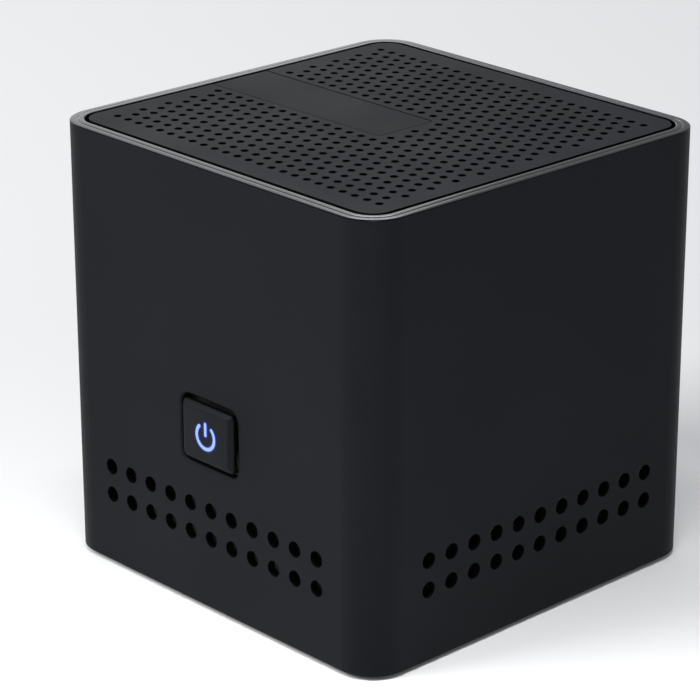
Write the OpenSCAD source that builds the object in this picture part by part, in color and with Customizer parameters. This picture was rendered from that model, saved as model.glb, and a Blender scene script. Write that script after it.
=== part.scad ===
// Mini PC: a cube-shaped small desktop computer.
// Origin: centre of the footprint on the floor. +Z up, front (power button) at -Y,
// rear connectors at +Y. All lengths in millimetres.

/* [Case] */
// Width and depth of the case over its flat faces
case_side = 112; // [112:1:136]
// Height of the case, from its lower edge to the top grille
case_height = 112; // [110:1:136]
// Radius of the four upright corners
corner_r = 10; // [9:0.5:11]
// Thickness of the case walls
wall = 2.2; // [1.8:0.1:2.8]
// How far the rubber feet lift the case
foot_height = 1.2; // [0.8:0.1:3]

/* [Top grille] */
// Width of the bright ring around the grille
ring_width = 3.6; // [3.2:0.1:4]
// Dark gap between the ring and the grille
ring_gap = 1; // [0.6:0.1:1.2]
// Thickness of the grille plate
grille_thick = 2; // [1.5:0.1:3]
// Diameter of a grille hole
hole_d = 2; // [1.6:0.1:2.4]
// Spacing of the grille holes along a row, and of the rows
hole_pitch = 4; // [3.6:0.1:4.8]
// Half the width of the blank nameplate, and how far it reaches past the centre
plate_half = 9.1; // [7:0.1:9.4]
// Free play around the nameplate in its recess
plate_gap = 0.3; // [0.1:0.05:0.5]
// Depth of the nameplate's recess
plate_depth = 0.6; // [0.4:0.1:1]

/* [Side vents] */
// Diameter of a side vent
vent_d = 4.1; // [3:0.1:5]
// Spacing of the side vents, both ways
vent_pitch = 7.5; // [6.5:0.1:9]
// Height of the lower row of vents above the case's lower edge
vent_height = 18.25; // [17:0.25:20]

/* [Power button] */
// Height of the button's centre above the case's lower edge
button_height = 45.5; // [42:0.5:60]
// Width of the button at its base
button_w = 18; // [16:0.1:22]
// Height of the button at its base
button_h = 15; // [14:0.1:20]
// Open gap around the button
button_gap = 1.1; // [0.8:0.1:1.6]
// Radius of the rounded rim of the button's opening
button_rim = 0.9; // [0.5:0.1:1.2]
// Width of the sloped edge around the button's face
button_bevel = 1.1; // [0.6:0.1:1.4]
// How far the button stands out of the front face
button_proud = 1.2; // [0.5:0.1:1.2]
// How far the button can be pressed
button_travel = 0.6; // [0.3:0.05:0.8]

/* [Rear connectors] */
// How far the sockets stand out of the rear face
socket_proud = 1.2; // [0.5:0.1:1.2]
// Free play around a socket in the rear panel
socket_gap = 0.3; // [0.2:0.05:0.5]

/* [Boards] */
// Thickness of the main board
board_thick = 1.6; // [1.2:0.1:2]
// Height of the stand-offs under the main board
standoff_height = 6; // [6:0.25:8]
// Gap between the main board's edge and the case wall
board_gap = 3.8; // [3.4:0.1:5]

/* [Cooling] */
// Width of the square fan
fan_side = 80; // [70:1:80]
// Thickness of the fan
fan_thick = 15; // [12:1:20]
// Width of the square heatsink
sink_side = 60; // [54:1:60]
// Height of the heatsink over its base
sink_height = 51; // [40:1:54]
// Radial play of the fan's shaft in its bearing
shaft_play = 0.03; // [0.02:0.01:0.08]

/* [Hidden] */
$fn = 64;

// Gap for pieces that drop into each other, and play of a screw in a clearance hole
fit_gap = 0.2;
screw_gap = 0.1;
// Radius and head of the M3 screws
screw_r = 1.5;
head_r = 2.7;
head_h = 1.6;

// Levels of the case
half = case_side / 2;
z_shell = foot_height;
z_top = foot_height + case_height;
inner_half = half - wall;
inner_r = corner_r - wall;
base_thick = 2;
z_base = z_shell + base_thick;

// Rubber feet, sunk a little into the base
foot_r = 6;
foot_sink = 0.8;
foot_at = half - 20;

// Corner screws: the centre of each boss from the middle of the case
boss_at = half - 8.2;
boss_r = 3.6;
boss_top = z_shell + 12;
// Web from each boss out to the middle of the rounded corner's wall
web_len = (half - corner_r) * sqrt(2) + corner_r - wall / 2 - boss_at * sqrt(2);
base_screw_len = 8.4;

// Main board levels
z_board = z_base + standoff_height;
z_board_top = z_board + board_thick;
board_half = inner_half - board_gap;
board_cut = 11;
board_hole = [board_half - 4.5, board_half - 13.5];

// Grille holes: columns and rows that fit between the margins
margin_x = 10;
margin_y = 12;
hole_cols = floor((case_side - 2 * margin_x) / hole_pitch) + 1;
hole_rows = floor((case_side - 2 * margin_y) / hole_pitch) + 1;

// Top stack: grille posts, fan bracket, fan
flange_thick = 0.35;
skirt_depth = 2.4;
grille_half = half - ring_width - ring_gap;
grille_r = corner_r - ring_width - ring_gap;
z_grille = z_top - grille_thick;
post_len = 6;
post_r = 2.4;
bracket_thick = 1.2;
z_bracket = z_grille - post_len - bracket_thick;
tab_thick = 3;
tab_from = half - 14;
z_fan = z_bracket - fan_thick;
fan_hole = fan_side / 2 - 4.25;
fan_bore = fan_side / 2 - 1.8;
fan_screw_r = 2;

// Air duct and heatsink
duct_wall = 1.5;
duct_half = sink_side / 2 + 3;
duct_flange = 1.2;
z_duct = z_fan - duct_flange;
z_chip = z_board_top + 1.2;
z_die = z_chip + 0.6;
pad_thick = 0.2;
z_sink = z_die + pad_thick;
sink_base = 4;
fins = 14;
fin_thick = 1.2;
z_sink_top = z_sink + sink_height;
sink_screw = sink_side / 2 - 4;
spring_len = 4;

// Fan motor
hub_r = 15;
hub_wall = 1.6;
shaft_r = 1.5;
bearing_r = 3;
holder_r = 4;
z_motor = z_fan + 2;
z_blade = z_fan + 1.4;
blade_top = z_bracket - 1;
hub_cap = 1.2;
bearing_len = fan_thick - 7;

// 2.5 inch drive, standing on its long side beside the fan
drive_len = 100.45;
drive_tall = 69.85;
drive_thick = 7;
plate_thick = 1;
drive_x = -inner_half + 3.1;
drive_shift = 1.3;
z_drive = z_bracket - tab_thick - head_h - 0.4 - drive_tall;
drive_screw = [38.3, 30.86];
hang_x = drive_x + drive_thick / 2 - 0.5;
hang_y = 25;

// Memory under the board's front edge, and two card sockets behind it
memory_y = -board_half + 5;
z_module = z_board - 2.8;
card_x = -board_half + 8;
card_y = [-12, 12];
z_card = z_board - 2.2;

// Coin cell and upright plugs on the board: fan, front panel and drive
cell_at = [-board_half + 10, -17];
z_header = z_board_top + 5.2;
header_fan = [fan_side / 2 - 4, -37];
header_panel = [10, -board_half + 6];
header_sata = [drive_x + 5.5, -30];

// Power button and its switch
z_button = z_shell + button_height;
y_front = -half;
y_wall_in = -inner_half;
cap_thick = 2.1;
cap_bevel_depth = 1;
cap_back = y_front - button_proud + cap_thick;
cap_r = 1.2;
opening_r = 2.6;
opening_w = button_w + 2 * button_gap;
opening_h = button_h + 2 * button_gap;
guide_at = y_wall_in + 1.6;
guide_thick = 2;
switch_at = y_wall_in + 8.2;
switch_thick = 1.6;
post_x = 14;
leg_x = 6.4;
leg_w = 1.6;
leg_h = 5;
leg_gap = 0.25;
hook = 0.5;
stem_drop = 5.7;
stem_r = 1.5;
tact_body = 3.5;
tact_head = 1;
plunger_r = 1.75;
plunger_play = 0.05;
pipe_r = 2.5;
symbol_r = 3.15;
symbol_stroke = 0.85;
symbol_bar = [0.4, 3.2];
symbol_gap = 43;
symbol_far = 8;

// Rear connectors, left to right as seen from the front: centre and width
y_rear = half + socket_proud;
panel_half = 42.8;
panel_low = z_board_top - 2.2;
panel_tall = 24;
dc_x = -36.75;
hdmi_x = -23.1;
usb_x = [-7.1, 8.5];
lan_x = 25;
audio_x = 37.9;
dc_size = [9.5, 14.5, 11];
hdmi_size = [15, 12, 6];
usb_size = [14.2, 17.5, 15.6];
lan_size = [16, 21, 13.5];
audio_size = [7, 12, 6.5];
audio_r = 1.8;
port_w = 12.6;
port_h = 5.1;

// A square or rectangle with true round corners
module rounded_rect(w, h, r) {
    square([w - 2 * r, h], center = true);
    square([w, h - 2 * r], center = true);
    for (sx = [-1, 1], sy = [-1, 1])
        translate([sx * (w / 2 - r), sy * (h / 2 - r)]) circle(r);
}

// Children at the four corners of a rectangle with the given half sizes
module at_corners(x, y) {
    for (sx = [-1, 1], sy = [-1, 1]) translate([sx * x, sy * y, 0]) children();
}

// A closed frame around a round-cornered rectangle. Its section is the child, with x measured
// outwards from the centre of a corner of radius r and y upwards
module swept_frame(w, h, r) {
    for (k = [0:3])
        translate([(k % 3 == 0 ? 1 : -1) * (w / 2 - r), (k < 2 ? 1 : -1) * (h / 2 - r), 0]) rotate(90 * k) {
            rotate_extrude(angle = 90) children();
            rotate([90, 0, 0]) linear_extrude((k % 2 == 0 ? h : w) - 2 * r) children();
        }
}

// Section of a cut that rounds the rim of an opening with corners of radius r
module rim_section(r, rim) {
    c = rim - 0.01;
    difference() {
        translate([r - 0.5, -c]) square([c + 0.5, c + 1]);
        translate([r + c, -c]) circle(rim);
    }
}

// A box from its lowest corner to its highest corner
module block(low, high) {
    translate(low) cube(high - low);
}

// A pan-head screw: head above z = 0, shank below
module screw(len, r = screw_r) {
    cylinder(r = r == screw_r ? head_r : r * 1.7, h = head_h);
    translate([0, 0, -len]) cylinder(r = r, h = len);
}

// Turns +Z towards the front (-Y)
module facing_front(y) {
    translate([0, y, 0]) rotate([90, 0, 0]) children();
}

// ---- Case ----

module base_cover() {
    color("#26272a") difference() {
        translate([0, 0, z_shell]) linear_extrude(base_thick)
            rounded_rect(2 * (inner_half - fit_gap), 2 * (inner_half - fit_gap), inner_r - fit_gap);
        translate([0, 0, z_shell]) {
            at_corners(boss_at, boss_at) {
                translate([0, 0, -1]) cylinder(r = screw_r + screw_gap, h = base_thick + 2);
                translate([0, 0, -1]) cylinder(r = head_r + fit_gap, h = 1.8);
            }
            at_corners(foot_at, foot_at) translate([0, 0, -1]) cylinder(r = foot_r, h = 1 + foot_sink);
            for (k = [-5:5]) translate([k * 6, 0, base_thick / 2]) {
                translate([-1.25, -12, -2]) cube([2.5, 24, 4]);
            }
        }
    }
}

module rubber_feet() {
    color("#151515") at_corners(foot_at, foot_at) {
        translate([0, 0, 0]) cylinder(r1 = foot_r - 0.6, r2 = foot_r, h = 0.6, $fn = 64);
        translate([0, 0, 0.6]) cylinder(r = foot_r, h = foot_height + foot_sink - 0.6);
    }
}

module base_screws() {
    color("#3a3a3c") at_corners(boss_at, boss_at)
        translate([0, 0, z_shell + 0.8]) mirror([0, 0, 1]) {
            translate([0, 0, 0]) cylinder(r = head_r, h = 0.7);
            translate([0, 0, -base_screw_len]) cylinder(r = screw_r - 0.02, h = base_screw_len);
        }
}

// Vent pattern of one side face, in the face's own plane
module vent_pattern() {
    columns = floor((case_side - 37) / vent_pitch) + 1;
    for (i = [0:columns - 1], j = [0:1])
        translate([(i - (columns - 1) / 2) * vent_pitch, vent_height + j * vent_pitch]) circle(d = vent_d);
}

module case_bosses() {
    at_corners(boss_at, boss_at) translate([0, 0, z_base]) cylinder(r = boss_r, h = boss_top - z_base);
    for (k = [0:3]) rotate(45 + 90 * k)
        translate([boss_at * sqrt(2), -1, z_base]) cube([web_len, 2, boss_top - z_base]);
}

module case_tabs() {
    translate([0, 0, z_bracket - tab_thick]) linear_extrude(tab_thick) intersection() {
        rounded_rect(2 * (half - wall / 2), 2 * (half - wall / 2), corner_r - wall / 2);
        for (sx = [-1, 1], sy = [-1, 1]) translate([sx * half, sy * half])
            square(2 * (half - tab_from), center = true);
    }
}

module housing_sleeve() {
    color("#232427") difference() {
        union() {
            translate([0, 0, z_shell]) linear_extrude(z_top - flange_thick - z_shell) difference() {
                rounded_rect(case_side, case_side, corner_r);
                rounded_rect(2 * inner_half, 2 * inner_half, inner_r);
            }
            case_bosses();
            case_tabs();
            for (sx = [-1, 1]) translate([sx * post_x, 0, z_button]) facing_front(guide_at)
                cylinder(r = 2.5, h = guide_at - y_wall_in + wall / 2);
        }
        // Side vents: front, right and left
        for (turn = [-90, 0, 90]) rotate(turn) translate([0, -half + wall + 1, z_shell]) rotate([90, 0, 0])
            linear_extrude(wall + 2) vent_pattern();
        // Button opening
        translate([0, 0, z_button]) facing_front(y_wall_in + 0.01) linear_extrude(wall + 1)
            rounded_rect(opening_w, opening_h, opening_r);
        translate([0, 0, z_button]) facing_front(y_front) swept_frame(opening_w, opening_h, opening_r)
            rim_section(opening_r, button_rim);
        // Rear connector opening and security slot
        block([-panel_half - fit_gap, inner_half - 0.5, panel_low - fit_gap],
            [panel_half + fit_gap, half + 1, panel_low + panel_tall + fit_gap]);
        translate([32, inner_half - 1, z_shell + 60]) rotate([-90, 0, 0])
            linear_extrude(wall + 2) rounded_rect(7, 3, 0.8);
        // Screw holes
        at_corners(boss_at, boss_at) translate([0, 0, z_base - 1])
            cylinder(r = screw_r, h = base_screw_len + 0.4);
        at_corners(boss_at, boss_at) translate([0, 0, z_bracket - tab_thick - 1])
            cylinder(r = screw_r + screw_gap, h = tab_thick + 2);
        for (sx = [-1, 1]) translate([sx * post_x, 0, z_button]) facing_front(guide_at + 1)
            cylinder(r = 1.25, h = 3.6);
    }
}

// ---- Top ----

module top_trim_ring() {
    section = [[0, -flange_thick], [0, -0.3], [0.4, 0], [1.6, 0], [1.85, -0.2], [2.1, 0],
        [ring_width - 0.5, 0], [ring_width, -0.4], [ring_width, -skirt_depth],
        [wall + 0.1, -skirt_depth], [wall + 0.1, -flange_thick]];
    color("#6f7176") translate([0, 0, z_top]) swept_frame(case_side, case_side, corner_r)
        polygon([for (p = section) [corner_r - p[0], p[1]]]);
}

// Rows and columns of the grille: staggered rows, left out under the nameplate
module grille_holes() {
    for (row = [0:hole_rows - 1]) {
        y = (row - (hole_rows - 1) / 2) * hole_pitch;
        shift = row % 2;
        for (col = [0:hole_cols - 1 - shift]) {
            x = (col - (hole_cols - 1 - shift) / 2) * hole_pitch;
            if (abs(y) > plate_half + hole_d / 2 + 0.3 || x > plate_half + hole_d / 2 + 0.3)
                translate([x, y]) circle(d = hole_d, $fn = 24);
        }
    }
}

// Outline of the nameplate, grown by a margin; it runs off the grille's left edge
module nameplate_outline(grow) {
    r = 1;
    long = grille_half + plate_half + 4;
    translate([plate_half + grow - long / 2, 0])
        rounded_rect(long, 2 * (plate_half + grow), r + grow);
}

module top_grille() {
    color("#3d3f43") difference() {
        translate([0, 0, z_grille]) linear_extrude(grille_thick) difference() {
            rounded_rect(2 * grille_half, 2 * grille_half, grille_r);
            grille_holes();
        }
        translate([0, 0, z_top - plate_depth]) linear_extrude(plate_depth + 1) nameplate_outline(0);
    }
}

// Threaded posts pressed onto the grille's underside
module grille_posts() {
    color("#b08d57") at_corners(boss_at, boss_at) translate([0, 0, z_grille - post_len]) difference() {
        cylinder(r = post_r, h = post_len);
        translate([0, 0, -1]) cylinder(r = screw_r, h = post_len + 0.5);
    }
}

module nameplate() {
    color("#46484c") translate([0, 0, z_top - plate_depth]) linear_extrude(plate_depth - 0.05)
        intersection() {
            nameplate_outline(-plate_gap);
            rounded_rect(2 * grille_half, 2 * grille_half, grille_r);
        }
}

module grille_screws() {
    color("#9a9ca0") at_corners(boss_at, boss_at) translate([0, 0, z_bracket - tab_thick])
        mirror([0, 0, 1]) {
            cylinder(r = head_r, h = head_h);
            translate([0, 0, -tab_thick - bracket_thick - post_len + 0.6])
                cylinder(r = screw_r - 0.02, h = tab_thick + bracket_thick + post_len - 0.6);
        }
}

// ---- Fan and duct ----

module fan_bracket() {
    color("#b8bbc0") translate([0, 0, z_bracket]) linear_extrude(bracket_thick) difference() {
        rounded_rect(2 * (inner_half - fit_gap), 2 * (inner_half - fit_gap), inner_r - fit_gap);
        circle(fan_bore);
        for (sx = [-1, 1], sy = [-1, 1]) {
            translate([sx * boss_at, sy * boss_at]) circle(screw_r + screw_gap);
            translate([sx * fan_hole, sy * fan_hole]) circle(fan_screw_r + screw_gap);
        }
        for (sy = [-1, 1]) translate([hang_x, sy * hang_y]) circle(screw_r + screw_gap);
    }
}

module fan_frame() {
    color("#1b1b1d") difference() {
        union() {
            translate([0, 0, z_fan]) linear_extrude(fan_thick) difference() {
                rounded_rect(fan_side, fan_side, 4);
                circle(fan_bore);
            }
            // Motor cup and its four struts
            translate([0, 0, z_fan]) cylinder(r = hub_r, h = z_motor - z_fan);
            for (k = [0:3]) rotate(45 + 90 * k) translate([hub_r - 1, -1.5, z_fan])
                cube([fan_bore - hub_r + 2, 3, 1.2]);
            translate([0, 0, z_motor]) cylinder(r = holder_r, h = bearing_len);
        }
        translate([0, 0, z_motor]) cylinder(r = bearing_r, h = bearing_len + 1);
        at_corners(fan_hole, fan_hole) translate([0, 0, z_fan - 1])
            cylinder(r = fan_screw_r, h = fan_thick + 2);
    }
}

module fan_screws() {
    color("#8d8f93") at_corners(fan_hole, fan_hole) translate([0, 0, z_bracket + bracket_thick])
        screw(bracket_thick + fan_thick + duct_flange - 0.2, fan_screw_r - 0.02);
}

// Seven pitched blades around a cup-shaped hub that hangs over the motor
module fan_rotor() {
    color("#202124") {
        difference() {
            translate([0, 0, z_motor + 0.6]) cylinder(r = hub_r, h = blade_top - z_motor - 0.6);
            translate([0, 0, z_motor]) cylinder(r = hub_r - hub_wall, h = blade_top - z_motor - hub_cap);
            cylinder(r = shaft_r, h = blade_top + 1);
        }
        intersection() {
            for (k = [0:6]) rotate(k * 360 / 7) translate([0, 0, (z_motor + blade_top) / 2 + 0.3])
                rotate([38, 0, 0]) translate([hub_r - 0.6, -9, -0.6]) cube([fan_bore - hub_r, 18, 1.2]);
            translate([0, 0, z_motor + 0.8]) difference() {
                cylinder(r = fan_bore - 0.6, h = blade_top - z_motor - 1.2);
                translate([0, 0, -1]) cylinder(r = hub_r - 0.4, h = fan_thick);
            }
        }
    }
}

module fan_shaft() {
    color("#c9ccd0") translate([0, 0, z_motor + 0.2]) cylinder(r = shaft_r, h = blade_top - z_motor - 0.2);
}

module fan_bearing() {
    color("#b08d57") translate([0, 0, z_motor]) difference() {
        cylinder(r = bearing_r, h = bearing_len);
        translate([0, 0, -1]) cylinder(r = shaft_r + shaft_play, h = bearing_len + 2);
    }
}

module fan_stator() {
    color("#a3622d") translate([0, 0, z_motor + 0.6]) difference() {
        union() {
            cylinder(r = 7, h = bearing_len - 1);
            for (k = [0:3]) rotate(90 * k) {
                translate([4, -2, 0]) cube([7, 4, bearing_len - 1]);
                translate([0, 0, 1.5]) intersection() {
                    cylinder(r = 12, h = bearing_len - 4);
                    translate([9.5, -6, 0]) cube([3, 12, bearing_len - 4]);
                }
            }
        }
        translate([0, 0, -1]) cylinder(r = holder_r, h = bearing_len + 2);
    }
}

// Flat four-wire lead from the fan's side down to its header
module fan_cable() {
    x = fan_side / 2;
    color("#2a2a2d") {
        block([x, -40 + 1, z_header - 1], [x + 0.8, -40 + 5, z_fan + 4]);
        block([header_fan[0] - 1, -40 + 1, z_header], [x + 0.8, -40 + 5, z_header + 0.8]);
    }
}

module air_duct() {
    color("#2b2c30") {
        translate([0, 0, z_sink_top - 2]) linear_extrude(z_fan - z_sink_top + 2) difference() {
            rounded_rect(2 * duct_half, 2 * duct_half, 3);
            rounded_rect(2 * (duct_half - duct_wall), 2 * (duct_half - duct_wall), 1.5);
        }
        translate([0, 0, z_duct]) linear_extrude(duct_flange) difference() {
            rounded_rect(fan_side, fan_side, 4);
            rounded_rect(2 * duct_half - duct_wall, 2 * duct_half - duct_wall, 2);
            for (sx = [-1, 1], sy = [-1, 1]) translate([sx * fan_hole, sy * fan_hole]) circle(fan_screw_r);
        }
    }
}

// ---- Drive ----

module drive_bracket() {
    z_mid = z_drive + drive_tall / 2;
    color("#c2c5ca") difference() {
        union() {
            block([drive_x - plate_thick, -42, z_drive + 3], [drive_x, 42, z_drive + drive_tall]);
            block([drive_x - plate_thick, -38, z_drive + drive_tall - 1], [drive_x, 38, z_bracket]);
            block([drive_x - plate_thick, -38, z_bracket - plate_thick],
                [drive_x + drive_thick, 38, z_bracket]);
        }
        for (sy = [-1, 1], sz = [-1, 1])
            translate([drive_x - 2, sy * drive_screw[0] + drive_shift, z_mid + sz * drive_screw[1]])
                rotate([0, 90, 0]) cylinder(r = screw_r + screw_gap, h = 3);
        for (sy = [-1, 1]) translate([hang_x, sy * hang_y, z_bracket - 2]) cylinder(r = screw_r, h = 4);
    }
}

module storage_drive() {
    z_mid = z_drive + drive_tall / 2;
    color("#8f9297") difference() {
        block([drive_x, -drive_len / 2 + drive_shift, z_drive],
            [drive_x + drive_thick, drive_len / 2 + drive_shift, z_drive + drive_tall]);
        for (sy = [-1, 1], sz = [-1, 1])
            translate([drive_x - 1, sy * drive_screw[0] + drive_shift, z_mid + sz * drive_screw[1]])
                rotate([0, 90, 0]) cylinder(r = screw_r, h = 4);
        // Label recess
        block([drive_x + drive_thick - 0.3, -38 + drive_shift, z_drive + 8],
            [drive_x + drive_thick + 1, 38 + drive_shift, z_drive + drive_tall - 8]);
    }
}

// Four low-head screws through the bracket into the drive, and two that hang the bracket
module drive_screws() {
    z_mid = z_drive + drive_tall / 2;
    color("#9a9ca0") {
        for (sy = [-1, 1], sz = [-1, 1])
            translate([drive_x - plate_thick, sy * drive_screw[0] + drive_shift, z_mid + sz * drive_screw[1]])
                rotate([0, -90, 0]) {
                    cylinder(r = head_r, h = 1.2);
                    translate([0, 0, -3.4]) cylinder(r = screw_r - 0.02, h = 3.4);
                }
        for (sy = [-1, 1]) translate([hang_x, sy * hang_y, z_bracket + bracket_thick])
            screw(bracket_thick + plate_thick + 1.4, screw_r - 0.02);
    }
}

// Right-angle plug on the drive's front end, with a flat lead to the main board
module sata_cable() {
    y_end = -drive_len / 2 + drive_shift;
    color("#1d1d20") {
        block([drive_x + 2, y_end - 4, z_drive + 4], [drive_x + drive_thick, y_end, z_drive + 48]);
        block([drive_x + 3, y_end - 3, z_header], [drive_x + drive_thick, y_end - 2.2, z_drive + 5]);
        block([drive_x + 3, y_end - 3, z_header],
            [drive_x + drive_thick, header_sata[1] + 2, z_header + 0.8]);
    }
}

// ---- Heatsink and processor ----

// Base plate with four feet that rest on the board around the screws
module heatsink() {
    color("#b5b8bc") difference() {
        union() {
            translate([0, 0, z_sink]) linear_extrude(sink_base) square(sink_side, center = true);
            at_corners(sink_screw, sink_screw) translate([0, 0, z_board_top])
                cylinder(r = 2.6, h = z_sink - z_board_top + 1);
        }
        at_corners(sink_screw, sink_screw) translate([0, 0, z_board_top - 1])
            cylinder(r = 1.6, h = sink_height);
    }
}

// Thin fins bonded on the base plate, notched around the screws
module heatsink_fins() {
    gap = (sink_side - fin_thick) / (fins - 1);
    color("#b5b8bc") difference() {
        for (i = [0:fins - 1])
            block([-sink_side / 2 + i * gap, -sink_side / 2, z_sink + sink_base],
                [-sink_side / 2 + i * gap + fin_thick, sink_side / 2, z_sink_top]);
        at_corners(sink_screw, sink_screw) translate([0, 0, z_sink + sink_base - 1])
            cylinder(r = 5, h = sink_height);
    }
}

module heatsink_screws() {
    color("#9a9ca0") at_corners(sink_screw, sink_screw) translate([0, 0, z_sink + sink_base + spring_len]) {
        cylinder(r = 3, h = 1.8);
        translate([0, 0, z_board - z_sink - sink_base - spring_len + 0.2])
            cylinder(r = 1.48, h = z_sink + sink_base + spring_len - z_board - 0.2);
    }
}

module heatsink_springs() {
    color("#d0d2d5") at_corners(sink_screw, sink_screw) translate([0, 0, z_sink + sink_base])
        linear_extrude(spring_len) difference() {
            circle(2.5);
            circle(1.8);
        }
}

module thermal_pad() {
    color("#9fb3c8") translate([0, 0, z_die]) linear_extrude(pad_thick) square([14, 12], center = true);
}

module processor() {
    color("#2f5d3a") {
        translate([0, 0, z_board_top]) linear_extrude(z_chip - z_board_top) square([38, 28], center = true);
        translate([0, 0, z_chip]) linear_extrude(z_die - z_chip) square([14, 12], center = true);
    }
}

// ---- Main board ----

module board_outline() {
    b = board_half;
    c = b - board_cut;
    polygon([[-c, -b], [c, -b], [b, -c], [b, c], [c, b], [-c, b], [-b, c], [-b, -c]]);
}

module motherboard() {
    color("#17402a") translate([0, 0, z_board]) linear_extrude(board_thick) difference() {
        board_outline();
        for (sx = [-1, 1], sy = [-1, 1]) {
            translate([sx * board_hole[0], sy * board_hole[1]]) circle(screw_r + screw_gap);
            translate([sx * sink_screw, sy * sink_screw]) circle(1.5);
        }
    }
}

module board_standoffs() {
    color("#b08d57") at_corners(board_hole[0], board_hole[1]) translate([0, 0, z_base])
        linear_extrude(standoff_height) difference() {
            circle(d = 5.77, $fn = 6);
            circle(screw_r);
        }
}

module board_screws() {
    color("#9a9ca0") at_corners(board_hole[0], board_hole[1]) translate([0, 0, z_board_top])
        screw(board_thick + standoff_height - 1.5, screw_r - 0.02);
}

// Socket for the memory, with its two side arms
module memory_socket() {
    color("#202022") difference() {
        union() {
            block([-35.5, memory_y - 3.5, z_board - 4], [35.5, memory_y + 3.5, z_board]);
            for (sx = [-1, 1]) translate([sx * 35, memory_y + 13, z_board - 1.6])
                cube([1.6, 22, 3.2], center = true);
        }
        block([-33.9, memory_y, z_module - 0.1], [33.9, memory_y + 4, z_module + 1.1]);
    }
}

module memory_module() {
    y0 = memory_y;
    color("#1d5a38") {
        block([-33.8, y0, z_module], [33.8, y0 + 30, z_module + 1]);
        for (i = [0:3], side = [-0.9, 1]) translate([-30 + i * 15.6, y0 + 10, z_module + side])
            cube([12.5, 12, 0.9]);
    }
}

// Two identical sockets for the solid-state drive and the radio card
module m2_sockets() {
    color("#202022") for (y = card_y) difference() {
        block([card_x, y, z_board - 3], [card_x + 8, y + 22, z_board]);
        block([card_x + 3.9, y - 1, z_card - 0.05], [card_x + 9, y + 23, z_card + 0.85]);
    }
}

module m2_card(y, len, chips) {
    difference() {
        block([card_x + 4, y, z_card], [card_x + 4 + len, y + 22, z_card + 0.8]);
        translate([card_x + 4 + len, y + 11, z_card - 1]) cylinder(r = 1.8, h = 3);
    }
    for (c = chips) block([c[0], y + 3, z_card - 1.2], [c[1], y + 19, z_card]);
}

module ssd_module() {
    color("#1c2f52") m2_card(card_y[0], 80, [[card_x + 18, card_x + 36], [card_x + 44, card_x + 62]]);
}

module wifi_card() {
    color("#1c2f52") m2_card(card_y[1], 30, [[card_x + 14, card_x + 26]]);
}

module m2_screws() {
    color("#c9b27a") for (p = [[80, card_y[0]], [30, card_y[1]]])
        translate([card_x + 4 + p[0], p[1] + 11, 0]) {
            translate([0, 0, z_card + 0.8]) cylinder(r = 2.6, h = z_board - z_card - 0.8);
            translate([0, 0, z_card - 0.2]) cylinder(r = 1.4, h = 1.2);
            translate([0, 0, z_card - 0.9]) cylinder(r = 2.6, h = 0.9);
        }
}

// Two foil antennas on the right wall, with their thin leads to the radio card
module wifi_antennas() {
    x_lead = inner_half - 1.8;
    y_lead = board_half - 7.5;
    z_lead = z_card - 2;
    color("#8a7b4c") {
        for (z = [60, 80]) block([inner_half - 0.8, 12, z], [inner_half, y_lead + 1, z + 9]);
        for (s = [0, 1]) {
            y = y_lead - 1.6 * s;
            x = x_lead;
            z = 64 + 20 * s;
            translate([x, y, z]) rotate([0, 90, 0]) cylinder(r = 0.6, h = 1.1);
            translate([x, y, z_lead]) cylinder(r = 0.6, h = z - z_lead);
            translate([card_x + 28 - 4 * s, y, z_lead]) rotate([0, 90, 0])
                cylinder(r = 0.6, h = x - card_x - 28 + 4 * s);
            translate([card_x + 28 - 4 * s, card_y[1] + 19.5, z_lead]) rotate([-90, 0, 0])
                cylinder(r = 0.6, h = y - card_y[1] - 19.5);
            for (p = [[x, y, z], [x, y, z_lead], [card_x + 28 - 4 * s, y, z_lead]]) translate(p) sphere(0.6);
        }
    }
}

module cell_holder() {
    color("#26262a") translate([cell_at[0], cell_at[1], z_board_top]) difference() {
        cylinder(r = 9, h = 3.6);
        translate([0, 0, 0.8]) cylinder(r = 8 + 0.1, h = 4);
        translate([0, -3, 0.8]) cube([12, 6, 4]);
    }
}

module coin_cell() {
    color("#cfd2d6") translate([cell_at[0], cell_at[1], z_board_top + 0.8]) {
        cylinder(r = 8, h = 2.4);
        translate([0, 0, 2.4]) cylinder(r = 7, h = 0.8);
    }
}

module power_inductors() {
    color("#4a4a4e") for (i = [0:5]) translate([board_half - 14, -27 + 9 * i, z_board_top]) {
        translate([-3.5, -3.5, 0]) cube([7, 7, 3.6]);
        translate([0, 0, 3.6]) cylinder(r = 2.6, h = 0.4);
    }
}

module capacitors() {
    color("#9aa0a8") for (i = [0:4]) translate([board_half - 5.5, -22 + 9 * i, z_board_top]) {
        translate([-3.3, -3.3, 0]) cube([6.6, 6.6, 1]);
        translate([0, 0, 1]) cylinder(r = 3.1, h = 6);
    }
}

module board_headers() {
    color("#e0ddd2") {
        block([header_fan[0] - 3, header_fan[1] - 4, z_board_top],
            [header_fan[0] + 3, header_fan[1] + 4, z_header]);
        block([header_panel[0] - 5, header_panel[1] - 2.4, z_board_top],
            [header_panel[0] + 5, header_panel[1] + 2.4, z_header]);
        block([header_sata[0] - 2.5, header_sata[1] - 2.5, z_board_top],
            [header_sata[0] + 2.5, header_sata[1] + 2.5, z_header]);
    }
}

// ---- Rear connectors ----

// Outer box of a socket, standing on the board with its face at the rear; grow widens it all round
module socket_box(x, size, grow = 0) {
    block([x - size[0] / 2 - grow, y_rear - size[1], z_board_top - (grow > 0 ? grow : 0)],
        [x + size[0] / 2 + grow, y_rear + (grow > 0 ? 5 : 0), z_board_top + size[2] + grow]);
}

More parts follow.
